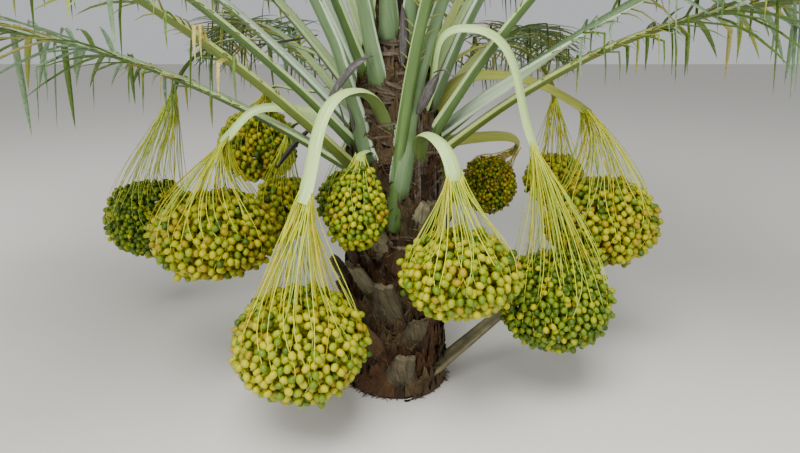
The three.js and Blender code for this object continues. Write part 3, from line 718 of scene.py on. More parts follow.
class Bunch:
    """A fruit stalk's two curves and the bell in which its dates hang."""

    def __init__(self, start, crest, end, middle, sizes, ripe, slant, turned):
        azimuth, height, launch = start
        self.start = on_trunk(azimuth, height * MM)
        self.crest, self.end, self.middle = table_places((crest, end, middle))
        self.width, self.radius, self.tall = [size * MM for size in sizes]
        self.ripe = ripe
        level = (self.end - self.start) * [1, 1, 0]
        self.outward = unit(level)
        self.side = unit(np.cross(UP, self.outward))
        self.hang = unit(self.middle - self.end)
        self.arrive = unit(self.hang + slant * self.outward)
        self.turned = math.radians(turned)
        up = STALK_PULL * np.linalg.norm(self.crest - self.start)
        down = STALK_PULL * np.linalg.norm(self.end - self.crest)
        off = direction(azimuth, launch)
        self.rise = [self.start, self.start + off * up, self.crest - self.outward * up, self.crest]
        self.drop = [self.crest, self.crest + self.outward * down, self.end - self.arrive * down, self.end]


bunches = [Bunch(*row) for row in BUNCHES]
print(len(bunches), "bunches")

# %% [markdown]
# The strap is lens shaped in section, with thin edges and a faint keel. It is smooth and waxy,
# pale green to cream, and yellower at its end, where it splits into strands. Straps that were
# longest in the sun have turned olive.

# %% Fruit stalks
def lens_section(columns, power=1.7):
    turn = 2 * np.pi * (np.arange(columns) + 0.5) / columns
    across = np.cos(turn)
    return np.stack([across, np.sign(np.sin(turn)) * (1 - np.abs(across) ** power)], -1)


STRAP_SIDES = 20
RISE_STATIONS, DROP_STATIONS = 26, 22
STRAP_DEEP, STRAP_SINK = 60 * MM, 55 * MM
STRAP_SWELL = ([0, 0.2, 0.5, 0.8, 0.96, 1], [1.5, 1.14, 1.0, 0.94, 1.04, 0.8])


def make_straps(numbers):
    lit_upper, shaded_under = gatherers(2)
    for i in numbers:
        bunch = bunches[i]
        rise = bezier(bunch.rise, RISE_STATIONS)
        drop = bezier(bunch.drop, DROP_STATIONS)[1:]
        turn = math.degrees(math.atan2(bunch.start[1], bunch.start[0]))
        hidden = rooted(bunch.start, unit(rise[1] - rise[0]), turn, STRAP_DEEP, STRAP_SINK)
        path = np.concatenate([hidden, rise, drop])
        level, over = across_and_over(path, bunch.side)
        side = level * math.cos(bunch.turned) + over * math.sin(bunch.turned)
        normal = over * math.cos(bunch.turned) - level * math.sin(bunch.turned)
        t = np.linspace(0, 1, len(path))
        width = bunch.width * np.interp(t, *STRAP_SWELL)
        depth = width * STALK_DEPTH_SHARE
        section = lens_section(STRAP_SIDES)
        two_faced_limb(lit_upper, shaded_under, STRAP_SIDES // 2, path, side, normal, width, depth, section)
    return lit_upper, shaded_under


# Living fruit stalk: waxy and smooth as a celery stick, with faint lengthwise veins. Sunned fruit
# stalk: the wax gone, ochre over green. Each has its upper face painted paler, cream on the living
# one, as if lit by the sun, and its underside painted a darker green, as if in shade.
STRAP_TONES = {
    "pale": (("#90b45c", "#cce2a0", "#b0ca7e"), ("#3e5222", "#6a7c40", "#546630")),
    "olive": (("#7c8630", "#a8a44c", "#8e963c"), ("#566420", "#888232", "#70762a")),
}
SUNNED = [3, 8, 9]
FRESH = [i for i in range(len(bunches)) if i not in SUNNED]
for word, numbers in (("pale", FRESH), ("olive", SUNNED)):
    names = numbered("fruit_stalk", numbers)
    for face, gathered, tones in zip(("lit_upper", "shaded_under"), make_straps(numbers), STRAP_TONES[word]):
        finish = plant_skin(f"{word}_{face}_fruit_stalk", tones, (7, 300), 120, 0.42, 0.4, wax=0.1)
        grow(f"{word}_fruit_stalks_{face}", gathered, finish, names)

# %% [markdown]
# At its end the strap splits into some fifty strands. Each fans out to the rim of the bunch and
# then hangs down over it, threaded with dates. The bunch's own space is a bell, widest below its
# middle, so a strand can be drawn as a line down the skin of that bell, or of a smaller bell
# inside it, with a smooth curve from the strap's end to where it joins the skin. The strands
# that come down outermost lie over the top of the fruit before they dip in among it.

# %% Strands
BELLY = 0.24
INNER_SHARE = 0.75
OVER_THE_FRUIT = 0.07
STRAND_GAP = 29 * MM
SPLIT_SHARE = 0.22
# Stations of a strand: on its first curve, down the bell, and until an outer one has dipped in.
FAN_STATIONS, HANGING_STATIONS, DIP_STATIONS = 10, 11, 4
YOUNG_FRUIT_FROM = 3
SPLIT_WIDTH, LEAVE_HANDLE, ARRIVE_HANDLE = 0.46, 0.35, 0.3
WOBBLE, WOBBLE_TURNS, WOBBLE_STARTS = 5, (3, 7), (0, 6)
INNER_SHARES, OUTER_SHARES = (0.55, INNER_SHARE), (0.86, 0.98)
LOWEST_FIRST, TIP_LEVELS = 0.05, (-1, -0.6)
DATE_RADIUS, DATE_LONG = 12.4 * MM, 14.6 * MM
DATE_SIZES = {"turning": 1.0, "orange": 1.0, "green": 0.88, "young": 0.76, "small": 0.62}
HIGHEST_DATE = {"turning": 0.66, "orange": 0.66, "green": 0.66, "young": 0.95, "small": 0.66}
GROW = np.random.default_rng(23)


def bell_place(bunch, azimuth, level, share):
    """A place on the bell's skin, or inside it. Level runs from 1 at its top to -1."""
    level = np.asarray(level, dtype=float)
    wide = bunch.radius * (1 - BELLY * level * (1 + level)) * np.sqrt(1 - level**2)
    return bunch.middle + share * (polar(azimuth, wide, 0.0) + UP * (bunch.tall * level)[..., None])


class Strand:
    """One strand: its whole path, and the number of the station where its fruit begins."""

    def __init__(self, bunch, azimuth, share, first_level, last_level):
        self.outer = share > INNER_SHARE
        level = np.linspace(first_level, last_level, HANGING_STATIONS)
        wobble = WOBBLE * np.sin(level * GROW.uniform(*WOBBLE_TURNS) + GROW.uniform(*WOBBLE_STARTS))
        dip = np.clip(1 - np.arange(HANGING_STATIONS) / DIP_STATIONS, 0, 1)
        lies_over = OVER_THE_FRUIT * dip * self.outer
        hanging = bell_place(bunch, azimuth + wobble, level, (share + lies_over)[:, None])
        turn = np.radians(azimuth)
        toward = np.array([math.cos(turn), math.sin(turn), 0])
        spread = float(np.dot(toward, bunch.side))
        start = bunch.end + bunch.side * spread * bunch.width * SPLIT_WIDTH
        start = start + np.cross(bunch.side, bunch.hang) * bunch.width * GROW.uniform(-0.1, 0.1)
        start = start - bunch.arrive * GROW.uniform(0, SPLIT_SHARE * bunch.tall)
        far = np.linalg.norm(hanging[0] - start)
        leave = unit(bunch.hang + bunch.arrive + 0.7 * toward)
        arrive = unit(hanging[1] - hanging[0])
        leaves_at = start + leave * far * LEAVE_HANDLE
        joins_at = hanging[0] - arrive * far * ARRIVE_HANDLE
        fan = bezier([start, leaves_at, joins_at, hanging[0]], FAN_STATIONS)
        self.path = np.concatenate([fan, hanging[1:]])
        self.fruit_from = YOUNG_FRUIT_FROM if bunch.ripe == "young" else FAN_STATIONS - 1


def strands_of(bunch):
    round_the_rim = int(2 * np.pi * bunch.radius * 1.05 / STRAND_GAP)
    made = []
    for i in range(int(1.5 * round_the_rim)):
        share = GROW.uniform(*(INNER_SHARES if i >= round_the_rim else OUTER_SHARES))
        first = GROW.uniform(LOWEST_FIRST, HIGHEST_DATE[bunch.ripe] + 0.04)
        made.append(Strand(bunch, i * GOLDEN_ANGLE, share, first, GROW.uniform(*TIP_LEVELS)))
    return made


strands = [strands_of(bunch) for bunch in bunches]
print(sum(len(each) for each in strands), "strands")

# %% [markdown]
# Strands are 4 mm thick where they leave the strap and thinner at the tip. Most are yellow, with
# some still green and some golden brown, so each is dealt one of three finishes by the ripeness
# of its bunch. A strand has no markings that could be seen, only a slight mottling.

# %% Strand pieces
STRAND_TOP, STRAND_TIP = 4.0 * MM, 2.2 * MM
STRAND_SHARES = {
    "turning": (0.55, 0.35, 0.10),
    "orange": (0.5, 0.25, 0.25),
    "green": (0.5, 0.46, 0.04),
    "young": (0.5, 0.4, 0.1),
    "small": (0.2, 0.1, 0.7),
}


def make_strands():
    pieces = gatherers(3)
    for bunch, its_strands in zip(bunches, strands):
        size = DATE_SIZES[bunch.ripe]
        for strand in its_strands:
            hint = direction(GROW.uniform(0, 360), 0.0)
            thick = np.linspace(STRAND_TOP, STRAND_TIP, len(strand.path)) * max(size, 0.75)
            tone = GROW.choice(3, p=STRAND_SHARES[bunch.ripe])
            limb_along(pieces[tone], strand.path, hint, thick, thick * 0.8, round_section(4))
    return pieces


# Strands are smooth and slightly waxy. Yellow is the colour of a strand in ripe sun.
STRAND_TONES = {
    "yellow": ("#b0b20c", "#d4d84c", "#c2c62c"),
    "green": ("#8aa61e", "#bcce60", "#a6bc3e"),
    "golden": ("#988200", "#b49e0c", "#a69000"),
}
strand_finishes = [
    plant_skin(f"{word}_strand", tones, (4, 50), 60, 0.45, 0.2, follow="Object")
    for word, tones in STRAND_TONES.items()
]
ALL_BUNCHES = numbered("fruit_bunch", range(len(bunches)))
for word, gathered, finish in zip(STRAND_TONES, make_strands(), strand_finishes):
    grow(f"{word}_strands", gathered, finish, ALL_BUNCHES)

# %% [markdown]
# A date at this stage is a smooth, firm, oblong fruit about 25 mm across and 29 mm long, crowded
# against its neighbours. Each is placed on a strand, to one side and then the other, and left out
# where it would sit inside another. Then the bell's skin is searched for gaps and each gets a date
# too, as on the real bunch, where strands swing aside until the fruit is packed. Two layers of
# plainer dates behind stop the light from showing through.

# %% Place the dates
DATE_STEP, LOOK_AHEAD = 19 * MM, 5 * MM
CROWDING = 0.86
LOWEST_DATE = 30 * MM
# How much a date's axis follows its strand, and how much one in a gap points out and down.
FOLLOWS, POINTS_OUT, POINTS_DOWN = 0.75, 0.7, 0.8
# The searches for gaps: share of the bell's size, whether it is seen, tries for each place and,
# where it isn't the bunch's own, the highest level.
GAP_SEARCHES = ((0.93, True, 6, None), (0.78, False, 4, 0.85), (0.6, False, 3, 0.9))


class Crowd:
    """The dates placed so far, kept in cells so that near ones are found fast."""

    CELL = 30 * MM

    def __init__(self):
        self.cells = {}

    def cell(self, place):
        return tuple(np.floor(place / self.CELL).astype(int))

    def room_for(self, place, distance):
        x, y, z = self.cell(place)
        for i in (x - 1, x, x + 1):
            for j in (y - 1, y, y + 1):
                for k in (z - 1, z, z + 1):
                    for other in self.cells.get((i, j, k), ()):
                        gap = other - place
                        if gap[0] ** 2 + gap[1] ** 2 + gap[2] ** 2 < distance**2:
                            return False
        return True

    def add(self, place):
        self.cells.setdefault(self.cell(place), []).append(place)


def dates_on_strand(strand, size):
    """Places and axes of dates to either side of a strand, each with its foot on the strand."""
    path = strand.path[strand.fruit_from :]
    run = np.concatenate([[0], np.cumsum(np.linalg.norm(np.diff(path, axis=0), axis=1))])
    step = DATE_STEP * size
    for n, distance in enumerate(np.arange(step / 2, run[-1], step)):
        at = np.array([np.interp(distance, run, path[:, k]) for k in range(3)])
        ahead = np.array([np.interp(distance + LOOK_AHEAD, run, path[:, k]) for k in range(3)]) - at
        ahead = ahead / max(np.linalg.norm(ahead), 1e-9)
        around = n * GOLDEN_ANGLE + GROW.uniform(-25, 25)
        out = direction(around, 0.0)
        axis = unit(out + FOLLOWS * ahead + 0.2 * GROW.standard_normal(3))
        yield at + axis * DATE_LONG * size, axis


def place_dates(bunch, its_strands, crowd):
    """All dates of a bunch as (place, axis, outer) rows."""
    size = DATE_SIZES[bunch.ripe]
    apart = 2 * DATE_RADIUS * size * CROWDING
    placed = []

    def offer(place, axis, outer, distance):
        if place[2] > LOWEST_DATE and crowd.room_for(place, distance):
            crowd.add(place)
            placed.append((place, axis, outer))

    for strand in its_strands:
        for place, axis in dates_on_strand(strand, size):
            offer(place, axis, strand.outer, apart)
    area = 4 * np.pi * bunch.radius**2
    for share, outer, tries, highest in GAP_SEARCHES:
        top = highest or HIGHEST_DATE[bunch.ripe]
        for _ in range(int(tries * area * share**2 / apart**2)):
            azimuth, level = GROW.uniform(0, 360), GROW.uniform(-0.98, top)
            place = bell_place(bunch, azimuth, level, share + GROW.uniform(-0.03, 0.03))
            out = unit(place - bunch.middle)
            axis = unit(POINTS_OUT * out - POINTS_DOWN * UP + 0.3 * GROW.standard_normal(3))
            offer(place, axis, outer, apart)
    return placed


crowd = Crowd()
dates = [place_dates(bunch, its, crowd) for bunch, its in zip(bunches, strands)]
print([len(each) for each in dates], "dates,", sum(len(each) for each in dates), "in all")

# %% [markdown]
# Ripeness has a place: one bunch is green, the next yellow. So every date is dealt one of five
# plain finishes by its bunch's shares, with a little agreement between near ones, and dates of
# one finish and one part of the crown are joined into a piece. Those that show keep the small
# straw-coloured cap at their foot by which they sit on the strand.

# %% Date pieces
RIPENESS = ("deep_green", "green", "lime", "yellow", "amber")
RIPE_SHARES = {
    "turning": (0.03, 0.15, 0.42, 0.31, 0.09),
    "orange": (0.02, 0.13, 0.30, 0.36, 0.19),
    "green": (0.24, 0.50, 0.21, 0.05, 0.00),
    "young": (0.08, 0.36, 0.36, 0.14, 0.06),
    "small": (0.10, 0.20, 0.15, 0.15, 0.40),
}
PARTS = {"front": [0, 1, 2, 7, 8], "left": [4, 5, 6, 10], "back": [3, 9, 11, 12]}
DATE_TAPER, CAP_AT = 0.06, 0.96
CAP_SIDES, CAP_RADIUS, CAP_POINT, CAP_CUPPED = 6, 4.5 * MM, 1.2 * MM, 0.35
SIZE_RANGE = (0.9, 1.05)
# How far near dates agree, and the waves in a metre, over 2 pi, by which they do: X, Y and Z.
AGREEMENT, WAVES_X, WAVES_Y, WAVES_Z = 0.12, 40, 25, 40


def ball(around, rings):
    """The corners and faces of a ball of radius 1, in triangles, with its poles on the Z axis."""
    shape = bmesh.new()
    bmesh.ops.create_uvsphere(shape, u_segments=around, v_segments=rings, radius=1)
    bmesh.ops.triangulate(shape, faces=shape.faces)
    corners = np.array([v.co[:] for v in shape.verts])
    faces = [np.array([v.index for v in face.verts]) for face in shape.faces]
    shape.free()
    # Triangulating gives the same triangles in another order each run, so they are sorted here.
    faces = np.array([np.roll(face, -face.argmin()) for face in faces])
    return corners, faces[np.lexsort(faces.T[::-1])]


def turned_along(corners, axis):
    """Turns corners so that their Z axis lies along the given axis."""
    helper = np.array([1.0, 0, 0]) if abs(axis[0]) < 0.8 else np.array([0, 1.0, 0])
    x = unit(np.cross(helper, axis))
    return corners @ np.stack([x, np.cross(axis, x), axis])


def date_shape(corners, faces):
    """An oblong fruit, a little wider towards its foot."""
    z = corners[:, 2:]
    wide = DATE_RADIUS * (1 - DATE_TAPER * z)
    return np.concatenate([corners[:, :2] * wide, z * DATE_LONG], axis=1), faces


OUTER_DATE, INNER_DATE = date_shape(*ball(8, 4)), date_shape(*ball(5, 3))
cap_turn = 2 * np.pi * np.arange(CAP_SIDES) / CAP_SIDES
CAP_RIM = np.stack([np.cos(cap_turn), np.sin(cap_turn), np.full(CAP_SIDES, CAP_CUPPED)], -1)
CAP_SHAPE = np.concatenate([CAP_RIM * CAP_RADIUS, [[0, 0, -CAP_POINT]]])
CAP_FACES = np.array([[k, CAP_SIDES, (k + 1) % CAP_SIDES] for k in range(CAP_SIDES)])


def make_dates(numbers):
    by_tone = {tone: Gathered() for tone in RIPENESS}
    caps = Gathered()
    for i in numbers:
        shares = np.cumsum(RIPE_SHARES[bunches[i].ripe])
        size = DATE_SIZES[bunches[i].ripe]
        for place, axis, outer in dates[i]:
            near = math.sin(WAVES_X * place[0]) * math.cos(WAVES_Z * place[2] + WAVES_Y * place[1])
            draw = min(max(GROW.uniform(0, 1) + AGREEMENT * near, 0), 0.999)
            corners, faces = OUTER_DATE if outer else INNER_DATE
            scale = size * GROW.uniform(*SIZE_RANGE)
            tone = RIPENESS[int(np.searchsorted(shares, draw))]
            by_tone[tone].add(place + turned_along(corners * scale, axis), [faces])
            if outer:
                foot = place - axis * DATE_LONG * scale * CAP_AT
                caps.add(foot + turned_along(CAP_SHAPE * scale, axis), [CAP_FACES])
    return by_tone, caps


# The skin of an unripe date is smooth, taut and waxy, with a soft highlight. Its tones differ
# from date to date and hardly within one, so the mottling is faint and as wide as half a date.
DATE_TONES = {
    "deep_green": ("#2e4600", "#4a6200", "#3c5400"),
    "green": ("#4c6400", "#6e8200", "#5e7400"),
    "lime": ("#747e00", "#969e00", "#868e00"),
    "yellow": ("#928e00", "#b2ae00", "#a29e00"),
    "amber": ("#807000", "#9a8800", "#8c7c00"),
}
date_finishes = {
    tone: plant_skin(f"{tone}_date_skin", tones, (9, 9), 16, 0.42, 0.1, wax=0.05, follow="Object")
    for tone, tones in DATE_TONES.items()
}
dry_cap = plant_skin(
    "dry_date_cap", ("#7a4a12", "#a87a2c", "#8f611e"), (2, 2), 6, 0.7, 0.1, follow="Object"
)
for part, numbers in PARTS.items():
    by_tone, caps = make_dates(numbers)
    names = numbered("fruit_bunch", numbers)
    for tone, gathered in by_tone.items():
        if gathered.count:
            grow(f"{part}_dates_{tone}", gathered, date_finishes[tone], names)
    grow(f"{part}_date_caps", caps, dry_cap, names)

# %% [markdown]
# A leaflet is a long narrow blade folded lengthwise like a gutter, stiff at first and drooping at
# its tip. Date palm leaflets don't lie in one plane: they come in loose groups that point up,
# level and down, which gives the leaf its feathery look. On low old leaves many have folded over
# at a kink and hang straight down, and a few small early ones hang from the bare stalk too. All
# leaflets of a leaf are made at once, as an array with one row for each. Their length along the
# rib, their sweep and their lift follow the rule that shaped the solid blade, so they fill the
# same outline.

# %% Leaflets
PAIRS = 74
LEAFLET_LENGTH, FIRST_SHARE, GROWTH = 430 * MM, 0.5, 3.2
SHORTENING, SHORTENING_POWER = 0.62, 2.2
SWEEP_BASE, SWEEP_TIP = 47, 61
LIFT_LOW, LIFT_UPRIGHT = -16, 14
LEAFLET_WIDTH = 24 * MM
FOLD = 32
SPRAY = 3
GROUP_LIFTS = np.array([-17, 4, 19])
SWEEP_VARIES, LIFT_VARIES, SHARE_VARIES = 4, 6, 0.25
DROOP_STIFF, DROOP_LOW, DROOP_RANGE = 0.1, 0.3, (0.5, 1.5)
REACH_RANGE, WIDTH_RANGE, KINKS = (0.9, 1.0), (0.75, 1.25), (0.15, 0.6)
KINKED_SHARE, KINK_FALL = 0.55, 7.0
LOW_RISE, EARLY_FROM, EARLY_LEAFLETS, EARLY_SIZE = 45, -0.17, 5, 0.85
RIB_SHARE = 0.42
FRUIT_CLEARANCE = 15 * MM
LEAFLET_OUTLINE = np.array(
    [[0, 0.35], [0.07, 0.8], [0.25, 1.0], [0.5, 0.92], [0.75, 0.62], [0.92, 0.26], [1, 0.02]]
)
FRESHNESS = ("green", "blue_green", "yellow_green", "straw")


def leaflet_reach(share):
    grown = np.minimum(1, FIRST_SHARE + GROWTH * share)
    return LEAFLET_LENGTH * grown * (1 - SHORTENING * share**SHORTENING_POWER)


def leaflet_grid(line, sign, share, size, kinked_share):
    """Corners of one side's leaflets: (leaflets, stations, 3 across, xyz)."""
    count = len(share)
    distance = (LEAFLETS_FROM + (1 - LEAFLETS_FROM) * share) * line.length
    at, ahead, side, normal = line.station(distance)
    share = np.clip(share, 0, 1)
    upright = min(1, line.rise / UPRIGHT_RISE)
    sweep = SWEEP_BASE + (SWEEP_TIP - SWEEP_BASE) * share
    sweep = np.radians(sweep + GROW.uniform(-SWEEP_VARIES, SWEEP_VARIES, count))
    group = GROUP_LIFTS[(np.arange(count) + (sign > 0)) % SPRAY]
    lift = LIFT_LOW + (LIFT_UPRIGHT - LIFT_LOW) * upright + group
    lift = np.radians(lift + GROW.uniform(-LIFT_VARIES, LIFT_VARIES, count))[:, None]
    level = ahead * np.cos(sweep)[:, None] + sign * side * np.sin(sweep)[:, None]
    away = level * np.cos(lift) + normal * np.sin(lift)
    root = at + sign * side * (rib_width(line, distance) * RIB_SHARE)[:, None]
    reach = leaflet_reach(share) * size * GROW.uniform(*REACH_RANGE, count)
    droop = (DROOP_STIFF + DROOP_LOW * (1 - upright)) * GROW.uniform(*DROOP_RANGE, count)
    t = LEAFLET_OUTLINE[:, 0]
    halfway = (t[1:] + t[:-1]) / 2
    kink = GROW.uniform(*KINKS, count)[:, None]
    kinked = GROW.uniform(0, 1, count)[:, None] < kinked_share
    fall = np.where(kinked & (halfway > kink), KINK_FALL, 2 * droop[:, None] * halfway)
    heads = unit(away[:, None] - fall[..., None] * UP)
    steps = heads * (reach[:, None] * np.diff(t))[..., None]
    middle = root[:, None] + np.concatenate([np.zeros((count, 1, 3)), np.cumsum(steps, axis=1)], axis=1)
    across = unit(np.cross(away, normal))[:, None]
    over = np.cross(across, np.concatenate([heads[:, :1], heads], axis=1))
    wide = GROW.uniform(*WIDTH_RANGE, count) * (0.4 + 0.6 * reach / LEAFLET_LENGTH)
    half = LEAFLET_WIDTH / 2 * wide[:, None] * LEAFLET_OUTLINE[:, 1]
    out = (half * math.cos(math.radians(FOLD)))[..., None] * across
    up = (half * math.sin(math.radians(FOLD)))[..., None] * over
    return np.stack([middle + out + up, middle, middle - out + up], axis=2)


def leaflets_of(line, sign):
    """All leaflets of one side: the full ones, and on a low leaf the small early ones."""
    share = (np.arange(PAIRS) + GROW.uniform(-SHARE_VARIES, SHARE_VARIES, PAIRS)) / PAIRS
    kinked_share = KINKED_SHARE * (1 - min(1, line.rise / UPRIGHT_RISE))
    full = leaflet_grid(line, sign, np.clip(share, 0, 0.995), 1.0, kinked_share)
    if line.rise > LOW_RISE:
        return full
    early = GROW.uniform(EARLY_FROM, 0, EARLY_LEAFLETS)
    return np.concatenate([full, leaflet_grid(line, sign, early, EARLY_SIZE, 1.0)])


def clear_of_fruit(grid):
    """Which leaflets stay out of every bunch."""
    clear = np.ones(len(grid), dtype=bool)
    for bunch in bunches:
        size = np.array([bunch.radius, bunch.radius, bunch.tall]) + FRUIT_CLEARANCE
        inside = np.sum(((grid[:, :, 1] - bunch.middle) / size) ** 2, -1) < 1
        clear &= ~inside.any(axis=1)
    return clear


def freshness_shares(line):
    """Old low leaves are yellower and have dead leaflets, young upright ones are green and waxed."""
    upright = min(1, line.rise / UPRIGHT_RISE)
    return np.array([0.42, 0.12 + 0.3 * upright, 0.38 - 0.28 * upright, 0.08 - 0.02 * upright])


def make_leaflets():
    by_tone = {tone: Gathered() for tone in FRESHNESS}
    faces = skin(len(LEAFLET_OUTLINE), 3, closed=False)
    corners_each = len(LEAFLET_OUTLINE) * 3
    for line in lines:
        shares = freshness_shares(line)
        for sign in (-1, 1):
            grid = leaflets_of(line, sign)
            grid = grid[clear_of_fruit(grid)]
            sprays = GROW.choice(len(shares), size=len(grid) // SPRAY + 1, p=shares / shares.sum())
            tones = sprays[np.arange(len(grid)) // SPRAY]
            for k, tone in enumerate(FRESHNESS):
                chosen = grid[tones == k]
                if len(chosen):
                    starts = np.arange(len(chosen)) * corners_each
                    all_faces = (faces[None] + starts[:, None, None]).reshape(-1, 4)
                    by_tone[tone].add(chosen, [all_faces])
    return by_tone


# Leaflet skin: leathery and half glossy. The grey-blue ones still carry wax, the yellow ones are
# losing their green, and straw is a leaflet that has dried.
LEAFLET_TONES = {
    "green": ("#3d5516", "#6a8432", "#526c24"),
    "blue_green": ("#4e6e48", "#94ae88", "#708e66"),
    "yellow_green": ("#76841c", "#a3a83a", "#8c962a"),
    "straw": ("#8a8034", "#bcb268", "#a2984c"),
}
for tone, gathered in make_leaflets().items():
    finish = plant_skin(
        f"{tone}_leaflet", LEAFLET_TONES[tone], (12, 12), 60, 0.45, 0.2, wax=0.05, follow="Object"
    )
    grow(f"{tone}_leaflets", gathered, finish, ALL_LEAVES)

# %% [markdown]
# Below its leaflets a date palm's stalk is armed: the lowest leaflets have become spines, stiff
# and needle sharp, in pairs that point outwards and ahead. Pickers cut them off near the trunk,
# so only stubs are left there. Further out they are as long as a finger, and the last ones are
# already half leaflets and droop. A four-sided cone that bends is all that each one needs.

# %% Spines
SPINES_FROM = 0.13
SPINE_PAIRS = 15
SPINE_STUB, SPINE_SHORT, SPINE_GROWS = 10 * MM, 40 * MM, 150 * MM
SPINE_WIDTHS = np.array([5.0, 4.6, 3.0, 0.5]) * MM
SPINE_SIDE, SPINE_OVER, TRIMMED_TO = 0.4, 0.3, 1.4


def make_spines():
    spines = Gathered()
    for line in lines:
        for k in range(SPINE_PAIRS):
            for sign in (-1, 1):
                share = SPINES_FROM + (LEAFLETS_FROM - SPINES_FROM) * (k + GROW.uniform(0, 0.8)) / SPINE_PAIRS
                distance = share * line.length
                at, ahead, side, normal = line.station(distance)
                lift = GROW.uniform(-0.2, 0.7)
                away = unit(ahead * GROW.uniform(0.8, 1.3) + sign * side + normal * lift)
                trimmed = GROW.uniform(0, 1) > TRIMMED_TO * k / SPINE_PAIRS
                long = SPINE_STUB if trimmed else SPINE_SHORT + SPINE_GROWS * (k / SPINE_PAIRS) ** 3
                long *= GROW.uniform(0.7, 1.2)
                root = at + sign * side * rib_width(line, distance) * SPINE_SIDE
                root = root + normal * rib_depth(line, distance) * SPINE_OVER
                t = np.linspace(0, 1, len(SPINE_WIDTHS))[:, None]
                path = root + away * long * t - UP * long * (0.06 + 4 * long) * t**2
                hint = np.cross(away, normal)
                limb_along(spines, path, hint, SPINE_WIDTHS, SPINE_WIDTHS, round_section(4))
    return spines


# Spine: green at its foot and drying to straw, hard and smooth.
spine_skin = plant_skin(
    "spine", ("#5f6c24", "#9c9048", "#7c7c34"), (5, 30), 50, 0.45, 0.1, follow="Object"
)
grow("spines", make_spines(), spine_skin, ALL_LEAVES)

# %% [markdown]
# The spear is the youngest leaves, still folded like a closed fan, straight up out of the crown.
# Its section is a star with a ridge for each folded leaflet, given a slow twist.

# %% Spear leaf
SPEAR_WIDTH, SPEAR_LENGTH = 62 * MM, 1750 * MM
SPEAR_RIDGES, SPEAR_VALLEY, SPEAR_TWIST = 11, 0.8, 70
SPEAR_GAP = 0.35 * MM
SPEAR_SWELL = ([0, 0.12, 0.4, 0.75, 1], [0.6, 0.95, 1, 0.62, 0.1])


def make_spear():
    spear = Gathered()
    t = np.linspace(0, 1, 40)
    path = np.array([0, 0, TRUNK_TOP + SPEAR_GAP]) + (t * SPEAR_LENGTH)[:, None] * UP
    width = SPEAR_WIDTH * np.interp(t, *SPEAR_SWELL)
    section = round_section(SPEAR_RIDGES * 2)
    section[::2] *= SPEAR_VALLEY
    twist = SPEAR_TWIST * t
    limb(spear, path, direction(twist, 0.0), direction(twist + 90, 0.0), width, width, section)
    return spear


# Young leaf in the bud: pale yellow green, dusted with wax.
spear_skin = plant_skin(
    "folded_young_leaf", ("#748a3c", "#b3bd74", "#93a455"), (6, 220), 120, 0.5, 0.8
)
grow("spear_leaf_skin", make_spear(), spear_skin, ["spear_leaf"])

# %% [markdown]
# Between the leaf bases the stem is wrapped in what their sheaths have turned into: sheets of
# woven fibre that clasp the stem on both sides of each base, living or cut, and have torn at
# their upper edge. They stand off the stem there, and the dark behind them is what makes a palm
# trunk look shaggy. Older ones are brown, and the dampest are red-brown.

# %% Sheaths round the stem
STUBS = [(i * GOLDEN_ANGLE, height) for i, height in enumerate(BOOT_HEIGHTS)]
BASES = [(leaf[0], leaf[1] * MM) for leaf in LEAVES] + STUBS
SHEATH_ROWS, SHEATH_COLUMNS = 8, 22
SHEATH_PEAK, SHEATH_EDGE, SHEATH_BELOW = 115 * MM, 30 * MM, 35 * MM
SHEATH_TURN_FROM, SHEATH_TURNS = 6, (45, 85)
LIES_OFF, STAND_OFF, TORN = 5, 15, 0.45
WEAVE_PER_DEGREE, WEAVE_HEIGHT = 2.5 * MM, 120 * MM


def make_sheaths():
    pieces = gatherers(2)
    for n, (azimuth, height) in enumerate(BASES):
        for sign in (-1, 1):
            reach = ROUGH.uniform(*SHEATH_TURNS)
            turn = np.linspace(SHEATH_TURN_FROM, reach, SHEATH_COLUMNS)
            fall = (turn / reach)[None]
            rung = np.linspace(0, 1, SHEATH_ROWS)[:, None]
            torn = 1 + TORN * ROUGH.uniform(-1, 1, SHEATH_COLUMNS)[None] * rung
            lift = rung * (SHEATH_PEAK * (1 - fall) + SHEATH_EDGE) * torn
            z = np.clip(height - SHEATH_BELOW + lift, 0.0, TRUNK_TOP)
            ripple = 3 * np.sin(turn / ROUGH.uniform(3, 6) + ROUGH.uniform(0, 6))[None] * rung
            ripple = ripple + 1.2 * ROUGH.standard_normal((SHEATH_ROWS, SHEATH_COLUMNS))
            off = LIES_OFF + STAND_OFF * rung**2 + ROUGH.uniform(0, 7) + ripple
            corners = polar(azimuth + sign * turn[None], trunk_radius(z) + off * MM, z)
            woven = np.broadcast_arrays(turn[None] * WEAVE_PER_DEGREE, rung * WEAVE_HEIGHT)
            faces = skin(SHEATH_ROWS, SHEATH_COLUMNS, closed=False)
            pieces[(n + (sign > 0)) % 3 == 0].add(corners, [faces], np.stack(woven, -1))
    return pieces


# Woven sheath: coarse brown sacking, matt, its threads 3 mm apart. The red-brown one is damp.
SHEATH_AGES = {
    "brown": ("woven_leaf_sheath", ("#150f08", "#75603f", "#403220")),
    "red": ("damp_leaf_sheath", ("#150c06", "#6c4a2c", "#3d2a18")),
}
for (word, look), gathered in zip(SHEATH_AGES.items(), make_sheaths()):
    finish = plant_skin(*look, (3, 30), 30, 0.95, 6.0, contrast=2.4)
    grow(f"{word}_sheaths", gathered, finish, ["trunk"])
